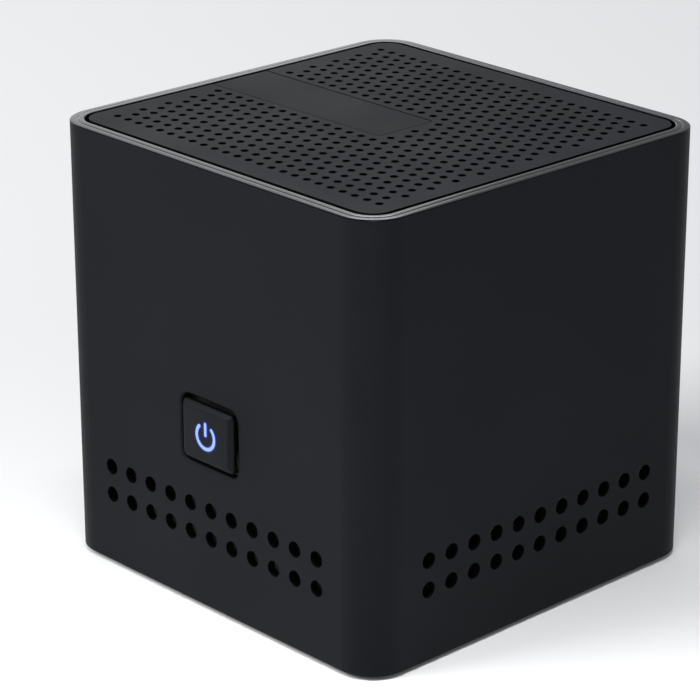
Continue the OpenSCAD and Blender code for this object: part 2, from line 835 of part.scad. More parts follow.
module rear_io_panel() {
    color("#aeb1b6") difference() {
        union() {
            block([-panel_half, inner_half - 0.5, panel_low],
                [panel_half, half - 0.6, panel_low + panel_tall]);
            block([-panel_half - 2, inner_half - 1, panel_low - 1.6],
                [panel_half + 2, inner_half, panel_low + panel_tall + 2]);
        }
        socket_box(dc_x, dc_size, socket_gap);
        socket_box(hdmi_x, hdmi_size, socket_gap);
        for (x = usb_x) socket_box(x, usb_size, socket_gap);
        socket_box(lan_x, lan_size, socket_gap);
        translate([audio_x, inner_half - 2, z_board_top + audio_size[2] / 2]) rotate([-90, 0, 0])
            cylinder(r = 3 + socket_gap, h = wall + 4);
    }
}

module dc_inlet() {
    color("#161617") difference() {
        socket_box(dc_x, dc_size);
        translate([dc_x, y_rear + 0.01, z_board_top + 6]) rotate([90, 0, 0]) cylinder(r = 3.2, h = 10.01);
    }
}

module dc_pin() {
    color("#d5c48e") translate([dc_x, y_rear - 1, z_board_top + 6]) rotate([90, 0, 0]) cylinder(r = 1, h = 9);
}

module hdmi_socket() {
    z = z_board_top + 0.7;
    color("#c4c7cb") {
        difference() {
            socket_box(hdmi_x, hdmi_size);
            translate([hdmi_x, y_rear + 1, z]) rotate([90, 0, 0]) linear_extrude(10)
                polygon([[-5.4, 0], [5.4, 0], [7, 1.6], [7, 4.6], [-7, 4.6], [-7, 1.6]]);
        }
        block([hdmi_x - 5.2, y_rear - 9.5, z + 2.2], [hdmi_x + 5.2, y_rear - 1.5, z + 3.2]);
    }
}

module usb_sockets() {
    color("#c4c7cb") for (x = usb_x) difference() {
        socket_box(x, usb_size);
        for (j = [0, 1]) block([x - port_w / 2, y_rear - 12, z_board_top + 1.4 + 7.6 * j],
            [x + port_w / 2, y_rear + 1, z_board_top + 1.4 + 7.6 * j + port_h]);
    }
}

module usb_tongues() {
    color("#2b62b8") for (x = usb_x, j = [0, 1])
        block([x - 5.6, y_rear - 12, z_board_top + 1.4 + 7.6 * j + 2.7],
            [x + 5.6, y_rear - 1.5, z_board_top + 1.4 + 7.6 * j + 4.4]);
}

module lan_socket() {
    z = z_board_top + 1.4;
    color("#b9bcc0") difference() {
        socket_box(lan_x, lan_size);
        block([lan_x - 5.9, y_rear - 14, z + 2], [lan_x + 5.9, y_rear + 1, z + 9]);
        block([lan_x - 3.2, y_rear - 14, z + 0.6], [lan_x + 3.2, y_rear + 1, z + 2.5]);
        for (sx = [-1, 1]) block([lan_x + sx * 5.2 - 1.5, y_rear - 0.3, z + 9.8],
            [lan_x + sx * 5.2 + 1.5, y_rear + 1, z + 11.4]);
    }
}

module audio_jack() {
    z = z_board_top + audio_size[2] / 2;
    color("#1d1f1d") difference() {
        union() {
            block([audio_x - audio_size[0] / 2, inner_half - 1.6 - audio_size[1], z_board_top],
                [audio_x + audio_size[0] / 2, inner_half - 1.6, z_board_top + audio_size[2]]);
            translate([audio_x, inner_half - 2, z]) rotate([-90, 0, 0])
                cylinder(r = 3, h = y_rear - inner_half + 2);
        }
        translate([audio_x, y_rear + 1, z]) rotate([90, 0, 0]) cylinder(r = audio_r, h = 15);
    }
}

// ---- Power button ----

// Broken ring with an upright bar, the common sign for power
module power_sign() {
    difference() {
        circle(symbol_r + symbol_stroke / 2);
        circle(symbol_r - symbol_stroke / 2);
        polygon([[0, 0], symbol_far * [sin(symbol_gap), cos(symbol_gap)], [0, symbol_far],
            symbol_far * [-sin(symbol_gap), cos(symbol_gap)]]);
    }
    for (s = [-1, 1]) rotate(-s * symbol_gap) translate([0, symbol_r]) circle(d = symbol_stroke);
    translate([-symbol_stroke / 2, symbol_bar[0]]) square([symbol_stroke, symbol_bar[1] - symbol_bar[0]]);
    for (z = symbol_bar) translate([0, z]) circle(d = symbol_stroke);
}

// Cap with four flat bevels, two guide legs with hooks and a stem over the switch
module power_button() {
    y_face = y_front - button_proud;
    slope = cap_bevel_depth;
    color("#26272a") translate([0, 0, z_button]) {
        difference() {
            intersection() {
                facing_front(cap_back) linear_extrude(cap_thick) rounded_rect(button_w, button_h, cap_r);
                rotate([90, 0, 90]) linear_extrude(button_w + 2, center = true) polygon([
                    [cap_back, -button_h / 2], [y_face + slope, -button_h / 2],
                    [y_face, -button_h / 2 + button_bevel], [y_face, button_h / 2 - button_bevel],
                    [y_face + slope, button_h / 2], [cap_back, button_h / 2]]);
                linear_extrude(button_h + 2, center = true) polygon([
                    [-button_w / 2, cap_back], [-button_w / 2, y_face + slope],
                    [-button_w / 2 + button_bevel, y_face], [button_w / 2 - button_bevel, y_face],
                    [button_w / 2, y_face + slope], [button_w / 2, cap_back]]);
            }
            facing_front(cap_back + 1) linear_extrude(cap_thick + 2) power_sign();
        }
        for (sx = [-1, 1]) {
            block([sx * leg_x - leg_w / 2, cap_back - 0.2, -leg_h / 2],
                [sx * leg_x + leg_w / 2, guide_at + guide_thick + 0.9, leg_h / 2]);
            block([sx * (leg_x + leg_w / 2) - (sx < 0 ? hook : 0), guide_at + guide_thick + 0.05, -leg_h / 2],
                [sx * (leg_x + leg_w / 2) + (sx > 0 ? hook : 0), guide_at + guide_thick + 0.9, leg_h / 2]);
        }
        translate([0, 0, -stem_drop]) facing_front(switch_at - tact_body - tact_head)
            cylinder(r = stem_r, h = switch_at - tact_body - tact_head - cap_back + 0.2);
    }
}

// Clear light guide: the sign in the cap's face, a disc behind it and a short rod to the lamp
module power_symbol() {
    color("#8fb0ff") translate([0, 0, z_button]) {
        facing_front(cap_back) linear_extrude(cap_thick) power_sign();
        facing_front(cap_back + 0.9) cylinder(r = symbol_r + symbol_stroke / 2 - 0.2, h = 0.9);
        facing_front(switch_at - 2.4) cylinder(r = pipe_r, h = switch_at - 2.4 - cap_back - 0.8);
    }
}

module button_guide() {
    color("#1a1a1c") translate([0, 0, z_button]) difference() {
        union() {
            facing_front(guide_at + guide_thick) linear_extrude(guide_thick) rounded_rect(34, 18, 2);
            for (sx = [-1, 1]) translate([sx * post_x, 0, 0]) facing_front(switch_at)
                cylinder(r = 2.5, h = switch_at - guide_at - guide_thick + 0.5);
        }
        for (sx = [-1, 1]) {
            translate([sx * post_x, 0, 0]) facing_front(switch_at + 1) cylinder(r = 1.35, h = 12);
            translate([sx * leg_x, guide_at + guide_thick / 2, 0])
                cube([leg_w + 2 * leg_gap, guide_thick + 2, leg_h + 2 * leg_gap], center = true);
        }
        facing_front(guide_at + guide_thick + 1) cylinder(r = pipe_r + leg_gap, h = guide_thick + 2);
        translate([0, 0, -stem_drop]) facing_front(guide_at + guide_thick + 1)
            cylinder(r = stem_r + leg_gap, h = guide_thick + 2);
    }
}

module switch_board() {
    color("#17402a") translate([0, 0, z_button]) facing_front(switch_at + switch_thick)
        linear_extrude(switch_thick) difference() {
            rounded_rect(34, 18, 1);
            for (sx = [-1, 1]) translate([sx * post_x, 0]) circle(1.35);
        }
}

module tact_switch() {
    color("#3c3c40") translate([0, 0, z_button - stem_drop]) difference() {
        facing_front(switch_at) linear_extrude(tact_body) square([6, 6], center = true);
        facing_front(switch_at - 0.6) cylinder(r = plunger_r + plunger_play, h = tact_body);
    }
}

module tact_plunger() {
    color("#151515") translate([0, 0, z_button - stem_drop])
        facing_front(switch_at - 0.6 - button_travel - 0.3)
            cylinder(r = plunger_r, h = tact_body + tact_head - 0.6 - button_travel - 0.3);
}

module status_led() {
    color("#cfe0ff") translate([0, 0, z_button + 0.3]) facing_front(switch_at)
        linear_extrude(1.1) square([3.2, 1.6], center = true);
}

module switch_board_screws() {
    y = switch_at + switch_thick;
    color("#9a9ca0") for (sx = [-1, 1]) translate([sx * post_x, 0, z_button]) {
        translate([0, y + 1.4, 0]) rotate([90, 0, 0]) cylinder(r = 2.3, h = 1.4);
        facing_front(y) cylinder(r = 1.23, h = y - guide_at + 1.6);
    }
}

// Flat lead from the switch board down to the main board, with its small plug
module panel_cable() {
    y = switch_at + switch_thick;
    color("#2a2a2d") {
        block([5, y, z_button - 7], [14 - 2, y + 3, z_button - 3]);
        block([6, y + 1, z_header], [12 - 1, y + 1.8, z_button - 6]);
        block([6, header_panel[1] - 1, z_header], [12 - 1, y + 1.8, z_header + 0.8]);
    }
}

base_cover();
rubber_feet();
base_screws();
housing_sleeve();
top_trim_ring();
top_grille();
grille_posts();
nameplate();
grille_screws();
fan_bracket();
fan_frame();
fan_screws();
fan_rotor();
fan_shaft();
fan_bearing();
fan_stator();
fan_cable();
air_duct();
drive_bracket();
storage_drive();
drive_screws();
sata_cable();
heatsink();
heatsink_fins();
heatsink_screws();
heatsink_springs();
thermal_pad();
processor();
motherboard();
board_standoffs();
board_screws();
memory_socket();
memory_module();
m2_sockets();
ssd_module();
wifi_card();
m2_screws();
wifi_antennas();
cell_holder();
coin_cell();
power_inductors();
capacitors();
board_headers();
rear_io_panel();
dc_inlet();
dc_pin();
hdmi_socket();
usb_sockets();
usb_tongues();
lan_socket();
audio_jack();
power_button();
power_symbol();
button_guide();
switch_board();
tact_switch();
tact_plunger();
status_led();
switch_board_screws();
panel_cable();
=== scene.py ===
import math

import bpy
import numpy as np
from mathutils import Matrix, Vector


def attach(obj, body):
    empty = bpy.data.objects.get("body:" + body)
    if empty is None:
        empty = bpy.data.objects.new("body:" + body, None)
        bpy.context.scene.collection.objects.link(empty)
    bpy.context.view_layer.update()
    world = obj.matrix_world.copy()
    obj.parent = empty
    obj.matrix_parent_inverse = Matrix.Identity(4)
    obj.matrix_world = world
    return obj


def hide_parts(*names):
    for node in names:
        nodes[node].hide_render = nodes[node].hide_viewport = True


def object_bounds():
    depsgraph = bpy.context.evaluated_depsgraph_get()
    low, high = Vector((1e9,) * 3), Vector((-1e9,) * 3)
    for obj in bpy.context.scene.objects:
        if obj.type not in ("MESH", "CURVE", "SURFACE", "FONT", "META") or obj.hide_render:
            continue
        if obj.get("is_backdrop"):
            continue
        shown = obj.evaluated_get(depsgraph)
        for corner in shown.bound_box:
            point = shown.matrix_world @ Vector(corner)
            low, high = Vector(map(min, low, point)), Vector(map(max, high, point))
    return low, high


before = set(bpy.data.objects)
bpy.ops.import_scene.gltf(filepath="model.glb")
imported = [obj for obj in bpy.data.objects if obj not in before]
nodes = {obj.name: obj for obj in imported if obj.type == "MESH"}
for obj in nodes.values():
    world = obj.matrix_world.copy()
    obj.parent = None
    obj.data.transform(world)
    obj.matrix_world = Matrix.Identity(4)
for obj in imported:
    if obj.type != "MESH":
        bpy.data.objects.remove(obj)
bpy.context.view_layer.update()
MM = 0.001


# ---- Base cover -------------------------------------------------------------------------------
# The flat lid under the case: injection-moulded ABS with a fine spark-eroded grain, slotted for air.
# Four screws hold it to the bosses inside the sleeve.

def put(mat, kind, sockets=None, **settings):
    """Adds one shader node. Each socket takes a plain value, or another node's output to link."""
    made = mat.node_tree.nodes.new(kind)
    for key, value in settings.items():
        setattr(made, key, value)
    for key, value in (sockets or {}).items():
        if isinstance(value, bpy.types.NodeSocket):
            mat.node_tree.links.new(value, made.inputs[key])
        else:
            made.inputs[key].default_value = value
    return made


def finish_of(name, colour, rough, metal=0.0, specular=0.5, **more):
    """A new material and its shader, with every constant on the shader's own sockets."""
    mat = bpy.data.materials.new(name)
    mat.use_nodes = True
    shader = mat.node_tree.nodes["Principled BSDF"]
    shader.inputs["Base Color"].default_value = (*colour, 1)
    shader.inputs["Roughness"].default_value = rough
    shader.inputs["Metallic"].default_value = metal
    shader.inputs["Specular IOR Level"].default_value = specular
    for key, value in more.items():
        shader.inputs[key.replace("_", " ")].default_value = value
    return mat, shader


def place_of(mat, stretch=(1, 1, 1)):
    """Object coordinates in millimetres, stretched along each axis."""
    here = put(mat, "ShaderNodeTexCoord")
    return put(mat, "ShaderNodeMapping", {
        "Vector": here.outputs["Object"], "Scale": tuple(s / MM for s in stretch)}).outputs["Vector"]


def noise(mat, place, per_mm, detail=2.0, rough=0.5):
    """Noise with per_mm lumps in each millimetre, from 0 to 1."""
    return put(mat, "ShaderNodeTexNoise", {
        "Vector": place, "Scale": per_mm, "Detail": detail, "Roughness": rough}).outputs["Fac"]


def spread(mat, value, low, high):
    """Maps 0.3..0.7, where most noise lies, to low..high."""
    return put(mat, "ShaderNodeMapRange", {
        "Value": value, "From Min": 0.3, "From Max": 0.7, "To Min": low, "To Max": high}).outputs["Result"]


def tint(mat, value, dark, light, low=0.3, high=0.7):
    """A colour that runs from dark to light as value goes from low to high."""
    ramp = put(mat, "ShaderNodeValToRGB", {"Fac": value})
    for stop, at, colour in zip(ramp.color_ramp.elements, (low, high), (dark, light)):
        stop.position, stop.color = at, (*colour, 1)
    return ramp.outputs["Color"]


def relief(mat, shader, height, depth_mm, strength=1.0):
    """Bumps the surface by height (0 to 1) times depth_mm."""
    bump = put(mat, "ShaderNodeBump", {"Height": height, "Distance": depth_mm * MM, "Strength": strength})
    mat.node_tree.links.new(bump.outputs["Normal"], shader.inputs["Normal"])


def link(mat, output, shader, socket):
    """Feeds one of the shader's sockets from another node."""
    mat.node_tree.links.new(output, shader.inputs[socket])


def moulded(name, colour, rough, grain_per_mm=5.0, grain_mm=0.006, specular=0.4):
    """Moulded plastic: fine grain, and a slow drift of colour and gloss from the flow in the mould."""
    mat, shader = finish_of(name, colour, rough, specular=specular)
    place = place_of(mat)
    slow = noise(mat, place, 0.05, 3)
    link(mat, tint(mat, slow, [c * 0.88 for c in colour], [c * 1.12 for c in colour]), shader, "Base Color")
    fine = noise(mat, place, grain_per_mm, 2)
    link(mat, spread(mat, fine, rough - 0.05, rough + 0.05), shader, "Roughness")
    relief(mat, shader, fine, grain_mm)
    return mat


def dress(material, *names):
    """Gives CAD nodes their finish in place of the plain one."""
    for name in names:
        nodes[name].data.materials.clear()
        nodes[name].data.materials.append(material)


base_plastic = moulded("base cover, grained black ABS", (0.010, 0.010, 0.012), 0.62, 3.0, 0.012)
dress(base_plastic, "base_cover")


# ---- Rubber feet ------------------------------------------------------------------------------
# Four round feet punched from solid rubber and stuck into shallow seats in the base. A flat dish
# under each foot leaves a soft ring that touches the table.

def rounded_square(half, radius, corner_steps=16):
    """A square loop with round corners, anticlockwise from the right side. Every loop with the same
    corner steps has the same number of points, so loops of different sizes can be joined."""
    turn = np.linspace(0, np.pi / 2, corner_steps + 1)
    arc = np.stack([np.cos(turn), np.sin(turn)], 1) * radius + (half - radius)
    quarter = np.array([[0, -1], [1, 0]])
    sides, spin = [], np.eye(2)
    for _ in range(4):
        sides.append(arc @ spin.T)
        spin = quarter @ spin
    return np.concatenate(sides)


def rounded_rectangle(wide, tall, radius, corner_steps=8):
    """A rectangle with round corners: a rounded square whose corners are moved in along one axis."""
    longest = max(wide, tall)
    loop = rounded_square(longest / 2, radius, corner_steps)
    return loop - np.sign(loop) * (longest - np.array([wide, tall])) / 2


def surface(grid, wrap_rows=False, wrap_columns=True, cap_start=False, cap_end=False):
    """Points and faces of a grid of points, rows by columns; a cap closes an open end with one face."""
    rows, columns = grid.shape[:2]
    index = np.arange(rows * columns).reshape(rows, columns)
    i = np.arange(rows if wrap_rows else rows - 1)[:, None]
    j = np.arange(columns if wrap_columns else columns - 1)[None, :]
    i2, j2 = (i + 1) % rows, (j + 1) % columns
    quads = np.stack([index[i, j], index[i, j2], index[i2, j2], index[i2, j]], -1).reshape(-1, 4)
    faces = quads.tolist()
    if cap_start:
        faces.append(index[0, ::-1].tolist())
    if cap_end:
        faces.append(index[-1].tolist())
    return grid.reshape(-1, 3), faces


def volume_of(points, faces):
    """Signed volume: the sum over a fan of triangles of a . (b x c) / 6, positive if faces point out."""
    tri = np.array([(f[0], f[k], f[k + 1]) for f in faces for k in range(1, len(f) - 1)])
    a, b, c = (points[tri[:, k]] for k in range(3))
    return np.einsum("ij,ij->i", a, np.cross(b, c)).sum() / 6


def piece(name, parts, material, body, replaced=(), sharp=35):
    """One object from closed parts (points in mm, faces), turned outwards, on its CAD body."""
    points, faces, start = [], [], 0
    for p, f in parts:
        if volume_of(p - p.mean(0), f) < 0:
            f = [face[::-1] for face in f]
        points.append(p * MM)
        faces += [[k + start for k in face] for face in f]
        start += len(p)
    mesh = bpy.data.meshes.new(name)
    mesh.from_pydata(np.concatenate(points).tolist(), [], faces)
    mesh.materials.append(material)
    mesh.validate()
    mesh.shade_smooth()
    mesh.set_sharp_from_angle(angle=math.radians(sharp))
    made = bpy.data.objects.new(name, mesh)
    bpy.context.scene.collection.objects.link(made)
    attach(made, body)
    if replaced:
        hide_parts(*replaced)
    return made


def spun(profile, place=(0, 0, 0), turn=np.eye(3), steps=48):
    """A profile of [radius, height] turned round Z and closed flat at both ends, then turned and placed."""
    angle = np.linspace(0, 2 * np.pi, steps, endpoint=False)
    radius, height = np.array(profile, float).T[:, :, None]
    grid = np.stack([radius * np.cos(angle), radius * np.sin(angle), height + 0 * angle], -1)
    return surface(grid @ np.array(turn).T + np.array(place), cap_start=True, cap_end=True)


def bar(low, high, ease=0.12):
    """A block with eased edges: rectangles with round corners, drawn in a little at both ends."""
    low, high = np.array(low, float), np.array(high, float)
    middle, (wide, deep, tall) = (low + high) / 2, high - low
    loops = []
    for inset, up in [(ease, 0), (0, ease), (0, tall - ease), (ease, tall)]:
        flat = rounded_rectangle(wide - 2 * inset, deep - 2 * inset, ease, 3) + middle[:2]
        loops.append(np.concatenate([flat, np.full((len(flat), 1), low[2] + up)], 1))
    return surface(np.stack(loops), cap_start=True, cap_end=True)


def corners(x, y, z=0):
    """The four corners of a rectangle with the given half sizes, at one height."""
    return [(sx * x, sy * y, z) for sx in (-1, 1) for sy in (-1, 1)]


FOOT_AT = 36
FOOT_PROFILE = [[3.6, 0.30], [3.95, 0.22], [4.2, 0.06], [4.5, 0.0], [5.1, 0.0], [5.4, 0.05], [5.7, 0.2],
                [5.88, 0.4], [5.95, 0.65], [5.95, 2.0]]
foot_rubber = moulded("feet, black rubber", (0.012, 0.012, 0.012), 0.85, 2.0, 0.02, 0.25)
piece("feet", [spun(FOOT_PROFILE, at) for at in corners(FOOT_AT, FOOT_AT)], foot_rubber, "case",
      ["rubber_feet"])


# ---- Housing sleeve ---------------------------------------------------------------------------
# One moulded tube makes the four walls. Its outside is sprayed with a satin charcoal paint with a very
# fine texture; the walls of the vents and of the button's opening are painted near-black as painted shade.

CASE_GREY = (0.0026, 0.0028, 0.0040)
COOL = (0.84, 0.89, 1.0, 1)
# Near-black painted shade, put on the walls of holes and gaps in place of the coat
SHADE_BLACK = (0.001, 0.001, 0.001, 1)
HALF, FLAT_HALF = 56, 45
VENT_LOW, VENT_HIGH = 15.0, 31.5
SHADE_DEPTH = 0.12


def maths(mat, operation, *values):
    """One step of arithmetic on node outputs or plain numbers."""
    return put(mat, "ShaderNodeMath", dict(enumerate(values)), operation=operation).outputs[0]


def axes_of(mat, place=None):
    """The place split into X, Y and Z: by default object coordinates in millimetres."""
    return put(mat, "ShaderNodeSeparateXYZ", {
        "Vector": place_of(mat) if place is None else place}).outputs


def satin_paint(name, colour, rough, specular):
    """Sprayed satin paint: orange peel of about a millimetre, pigment specks, slow drift of gloss."""
    mat, shader = finish_of(name, colour, rough, specular=specular, Specular_Tint=COOL)
    place = place_of(mat)
    specks = noise(mat, place, 9.0, 1)
    relief(mat, shader, maths(mat, "ADD", noise(mat, place, 0.9, 2), specks), 0.004)
    drift = noise(mat, place, 0.03, 2)
    link(mat, spread(mat, drift, rough - 0.03, rough + 0.03), shader, "Roughness")
    coat = tint(mat, specks, [c * 0.9 for c in colour], [c * 1.1 for c in colour])
    link(mat, coat, shader, "Base Color")
    return mat, shader, coat


def paint_shade_black(mat, shader, coat, mask):
    """Puts near-black painted shade in place of the coat where mask is 1."""
    mixed = put(mat, "ShaderNodeMix", {0: mask, 6: coat, 7: SHADE_BLACK}, data_type="RGBA").outputs[2]
    link(mat, mixed, shader, "Base Color")


sleeve_paint, sleeve_shader, sleeve_coat = satin_paint("sleeve, satin charcoal paint", CASE_GREY, 0.52, 0.115)
spot = axes_of(sleeve_paint)
far_x, far_y = (maths(sleeve_paint, "ABSOLUTE", spot[k]) for k in "XY")

# Painted shade: a vent's wall is whatever lies deeper than the shade depth behind a flat face, in the band of
# the vents, and is painted near-black
off_corner = maths(sleeve_paint, "LESS_THAN", maths(sleeve_paint, "MINIMUM", far_x, far_y), FLAT_HALF)
outermost = maths(sleeve_paint, "MAXIMUM", far_x, far_y)
below_shade_depth = maths(sleeve_paint, "LESS_THAN", outermost, HALF - SHADE_DEPTH)
in_band = maths(sleeve_paint, "MULTIPLY", maths(sleeve_paint, "GREATER_THAN", spot["Z"], VENT_LOW),
                maths(sleeve_paint, "LESS_THAN", spot["Z"], VENT_HIGH))
vent_wall_shade = maths(sleeve_paint, "MULTIPLY", in_band, maths(sleeve_paint, "MULTIPLY", below_shade_depth, off_corner))

# The wall of the button's opening is painted near-black as painted shade too. Its rounded rim keeps the coat
# at the left and below, and is painted black as shade from nearer the face at the right and above, past these
# distances from the centre.
OPENING_HALF, OPENING_Z, RIM_SHADE_FROM = 14, 46.7, (-53.9, -55.95)
RIM_RIGHT, RIM_ABOVE = 9.9, 8.4
above = maths(sleeve_paint, "ABSOLUTE", maths(sleeve_paint, "SUBTRACT", spot["Z"], OPENING_Z))
near_opening = maths(sleeve_paint, "LESS_THAN", maths(sleeve_paint, "MAXIMUM", far_x, above), OPENING_HALF)
past_right = maths(sleeve_paint, "SUBTRACT", spot["X"], RIM_RIGHT)
past_above = maths(sleeve_paint, "SUBTRACT", spot["Z"], OPENING_Z + RIM_ABOVE)
shaded_side = maths(sleeve_paint, "GREATER_THAN", maths(sleeve_paint, "MAXIMUM", past_right, past_above), 0)
shade_from = maths(sleeve_paint, "ADD", RIM_SHADE_FROM[0], maths(
    sleeve_paint, "MULTIPLY", shaded_side, RIM_SHADE_FROM[1] - RIM_SHADE_FROM[0]))
opening_shade = maths(sleeve_paint, "MULTIPLY", near_opening, maths(
    sleeve_paint, "GREATER_THAN", spot["Y"], shade_from))
paint_shade_black(sleeve_paint, sleeve_shader, sleeve_coat, maths(sleeve_paint, "MAXIMUM", vent_wall_shade, opening_shade))
dress(sleeve_paint, "housing_sleeve")


# ---- Top trim ring ----------------------------------------------------------------------------
# A rolled aluminium frame, anodised dark grey, closes the top of the sleeve. Its edges are
# diamond-cut bright, with a fine groove between the two bright lines.

def uv_of(made, height, name="section"):
    """A UV map whose second value is given for each point, so that a pattern can follow the section."""
    loops = np.empty(len(made.data.loops), int)
    made.data.loops.foreach_get("vertex_index", loops)
    both = np.stack([np.full(len(loops), 0.5), height[loops]], 1)
    made.data.uv_layers.new(name=name).data.foreach_set("uv", both.astype(np.float32).ravel())


Z_TOP = 113.2
# Section of the ring as [inset from the outer face, height], from the outer joint up, over and down:
# a soft outer shoulder, a bright facet, a fine groove, a second facet and the inner edge
RING_SECTION = np.array([
    [0.00, -0.35], [0.00, -0.34], [0.04, -0.29], [0.14, -0.235], [0.32, -0.185], [0.55, -0.155],
    [0.80, -0.135], [1.00, -0.125], [1.55, -0.095], [1.70, -0.10], [1.85, -0.145], [2.00, -0.075],
    [2.15, -0.06], [3.00, 0.00], [3.28, -0.01], [3.46, -0.06], [3.56, -0.16], [3.60, -0.32],
    [3.60, -2.40], [2.30, -2.40], [2.30, -0.35]])

RING_SKIN, RING_BARE = (0.004, 0.0043, 0.0058), (0.021, 0.0222, 0.0275)
RING_WIDE, RING_CORNER = 3.6, 10
trim_metal, trim_shader = finish_of("trim ring, diamond-cut anodised aluminium", RING_BARE, 0.17, 1.0)
trim_marks = noise(trim_metal, place_of(trim_metal, (1, 1, 0.2)), 2.5, 3)
link(trim_metal, spread(trim_metal, trim_marks, 0.11, 0.19), trim_shader, "Roughness")
relief(trim_metal, trim_shader, trim_marks, 0.002)
# The dark anodised skin is left on the shoulder; the cut facets inside it are bare metal
ring_depth = put(trim_metal, "ShaderNodeUVMap", uv_map="section").outputs["UV"]
ring_inset = axes_of(trim_metal, ring_depth)["Y"]
link(trim_metal, tint(trim_metal, ring_inset, RING_SKIN, RING_BARE, 0.12, 0.38), trim_shader, "Base Color")

ring_loops = []
for inset, height in RING_SECTION:
    loop = rounded_square(HALF - inset, RING_CORNER - inset)
    ring_loops.append(np.concatenate([loop, np.full((len(loop), 1), Z_TOP + height)], 1))
ring_grid = np.stack(ring_loops)
trim_ring = piece("trim_ring", [surface(ring_grid, wrap_rows=True)], trim_metal, "case",
                  ["top_trim_ring"], 30)
uv_of(trim_ring, np.repeat(RING_SECTION[:, 0] / RING_WIDE, ring_grid.shape[1]))


# ---- Top grille and nameplate -----------------------------------------------------------------
# The perforated lid is a punched plate with a satin charcoal coat, and a thin blank plate lies in a
# shallow recess in it. Posts under the corners take the screws from inside.

GRILLE_SHADE_DEPTH = 0.1
grille_paint, grille_shader, grille_coat = satin_paint(
    "grille, satin charcoal coat", (0.0026, 0.0030, 0.0052), 0.5, 0.07)
# Painted shade: the walls of the holes below the top face are painted near-black
hole_wall_shade = maths(grille_paint, "LESS_THAN", axes_of(grille_paint)["Z"], Z_TOP - GRILLE_SHADE_DEPTH)
paint_shade_black(grille_paint, grille_shader, grille_coat, hole_wall_shade)
dress(grille_paint, "top_grille")

plate_paint, _, _ = satin_paint("nameplate, smooth charcoal coat", (0.0021, 0.0025, 0.0045), 0.5, 0.064)
dress(plate_paint, "nameplate")


def turned(name, colour, rough=0.28):
    """Turned metal: fine rings from the tool, seen as bands along the piece's height."""
    mat, shader = finish_of(name, colour, rough, 1.0)
    marks = noise(mat, place_of(mat, (0.3, 0.3, 3)), 4.0, 2)
    link(mat, spread(mat, marks, rough - 0.08, rough + 0.1), shader, "Roughness")
    relief(mat, shader, marks, 0.004)
    return mat


brass = turned("turned brass", (0.62, 0.45, 0.20))
dress(brass, "grille_posts", "board_standoffs", "fan_bearing", "m2_screws")


# ---- Screws -----------------------------------------------------------------------------------
# Zinc-plated pan-head screws with a cross recess and a threaded shank. The four that hold the base
# are black oxide instead.

def plated(name, colour, rough):
    """Bright plating: a faint haze of colour and gloss a couple of millimetres wide."""
    mat, shader = finish_of(name, colour, rough, 1.0)
    haze = noise(mat, place_of(mat), 0.5, 3)
    link(mat, spread(mat, haze, rough - 0.02, rough + 0.05), shader, "Roughness")
    link(mat, tint(mat, haze, [c * 0.94 for c in colour], colour), shader, "Base Color")
    relief(mat, shader, haze, 0.0003)
    return mat


CROSS_ANGLES = np.radians([0, 9, 18, 31, 45, 59, 72, 81])
QUARTERS = np.arange(4)[:, None] * np.pi / 2
HEAD_ANGLES = (CROSS_ANGLES + QUARTERS).ravel()
ARM_CORNER = CROSS_ANGLES[2]


def round_loop(radius, height):
    """A circle with its points at the head's angles, so that it joins a cross loop."""
    return np.stack([radius * np.cos(HEAD_ANGLES), radius * np.sin(HEAD_ANGLES), 0 * HEAD_ANGLES + height], 1)


def cross_loop(arm, height):
    """A plus sign as a loop: out to arm along each axis, and along the arm's side between the axes.
    With f the angle from the nearest axis, the radius is arm / cos f up to the arm's corner and then
    half the arm's width / sin f."""
    f = np.abs((HEAD_ANGLES + np.pi / 4) % (np.pi / 2) - np.pi / 4)
    half_width = arm * np.tan(ARM_CORNER)
    radius = np.where(f <= ARM_CORNER + 1e-6, arm / np.cos(f), half_width / np.sin(np.maximum(f, 0.1)))
    return np.stack([radius * np.cos(HEAD_ANGLES), radius * np.sin(HEAD_ANGLES), 0 * f + height], 1)


UP, DOWN = np.eye(3), np.diag([1, -1, -1])
TO_LEFT = np.array([[0, 0, -1], [0, 1, 0], [1, 0, 0]])
TO_REAR = np.array([[1, 0, 0], [0, 0, 1], [0, -1, 0]])
THREAD_DEEP = 0.14


def screw(place, turn, head, tall, shank, length):
    """A pan head with a cross recess on a threaded shank, head up before it is turned and placed.
    The thread is a run of ridges, one for each half millimetre."""
    ridges = np.arange(-length + 0.6, -0.2, 0.25)
    thread = [round_loop(shank - THREAD_DEEP * (k % 2), z) for k, z in enumerate(ridges)]
    dome = [(1, 0.12), (1, 0.45), (0.95, 0.75), (0.84, 0.93), (0.7, 1)]
    loops = [round_loop(shank - 0.5, -length), *thread, round_loop(shank - THREAD_DEEP, -0.02),
             round_loop(head - 0.08, 0), *[round_loop(r * head, z * tall) for r, z in dome],
             cross_loop(0.6 * head, tall), cross_loop(0.56 * head, tall - 0.06),
             cross_loop(0.36 * head, 0.35 * tall)]
    return surface(np.stack(loops) @ turn.T + np.array(place), cap_start=True, cap_end=True)


BOSS_AT, FAN_HOLE, SINK_SCREW, BOARD_HOLE, BOARD_TOP = 47.8, 35.75, 26, (45.5, 36.5), 10.8
BRACKET_TOP, DRIVE_SIDE, DRIVE_MIDDLE = 105.2, -51.7, (1.3, 64.075)
zinc = plated("zinc-plated steel", (0.42, 0.42, 0.44), 0.32)
black_oxide = plated("black oxide steel", (0.035, 0.035, 0.038), 0.42)
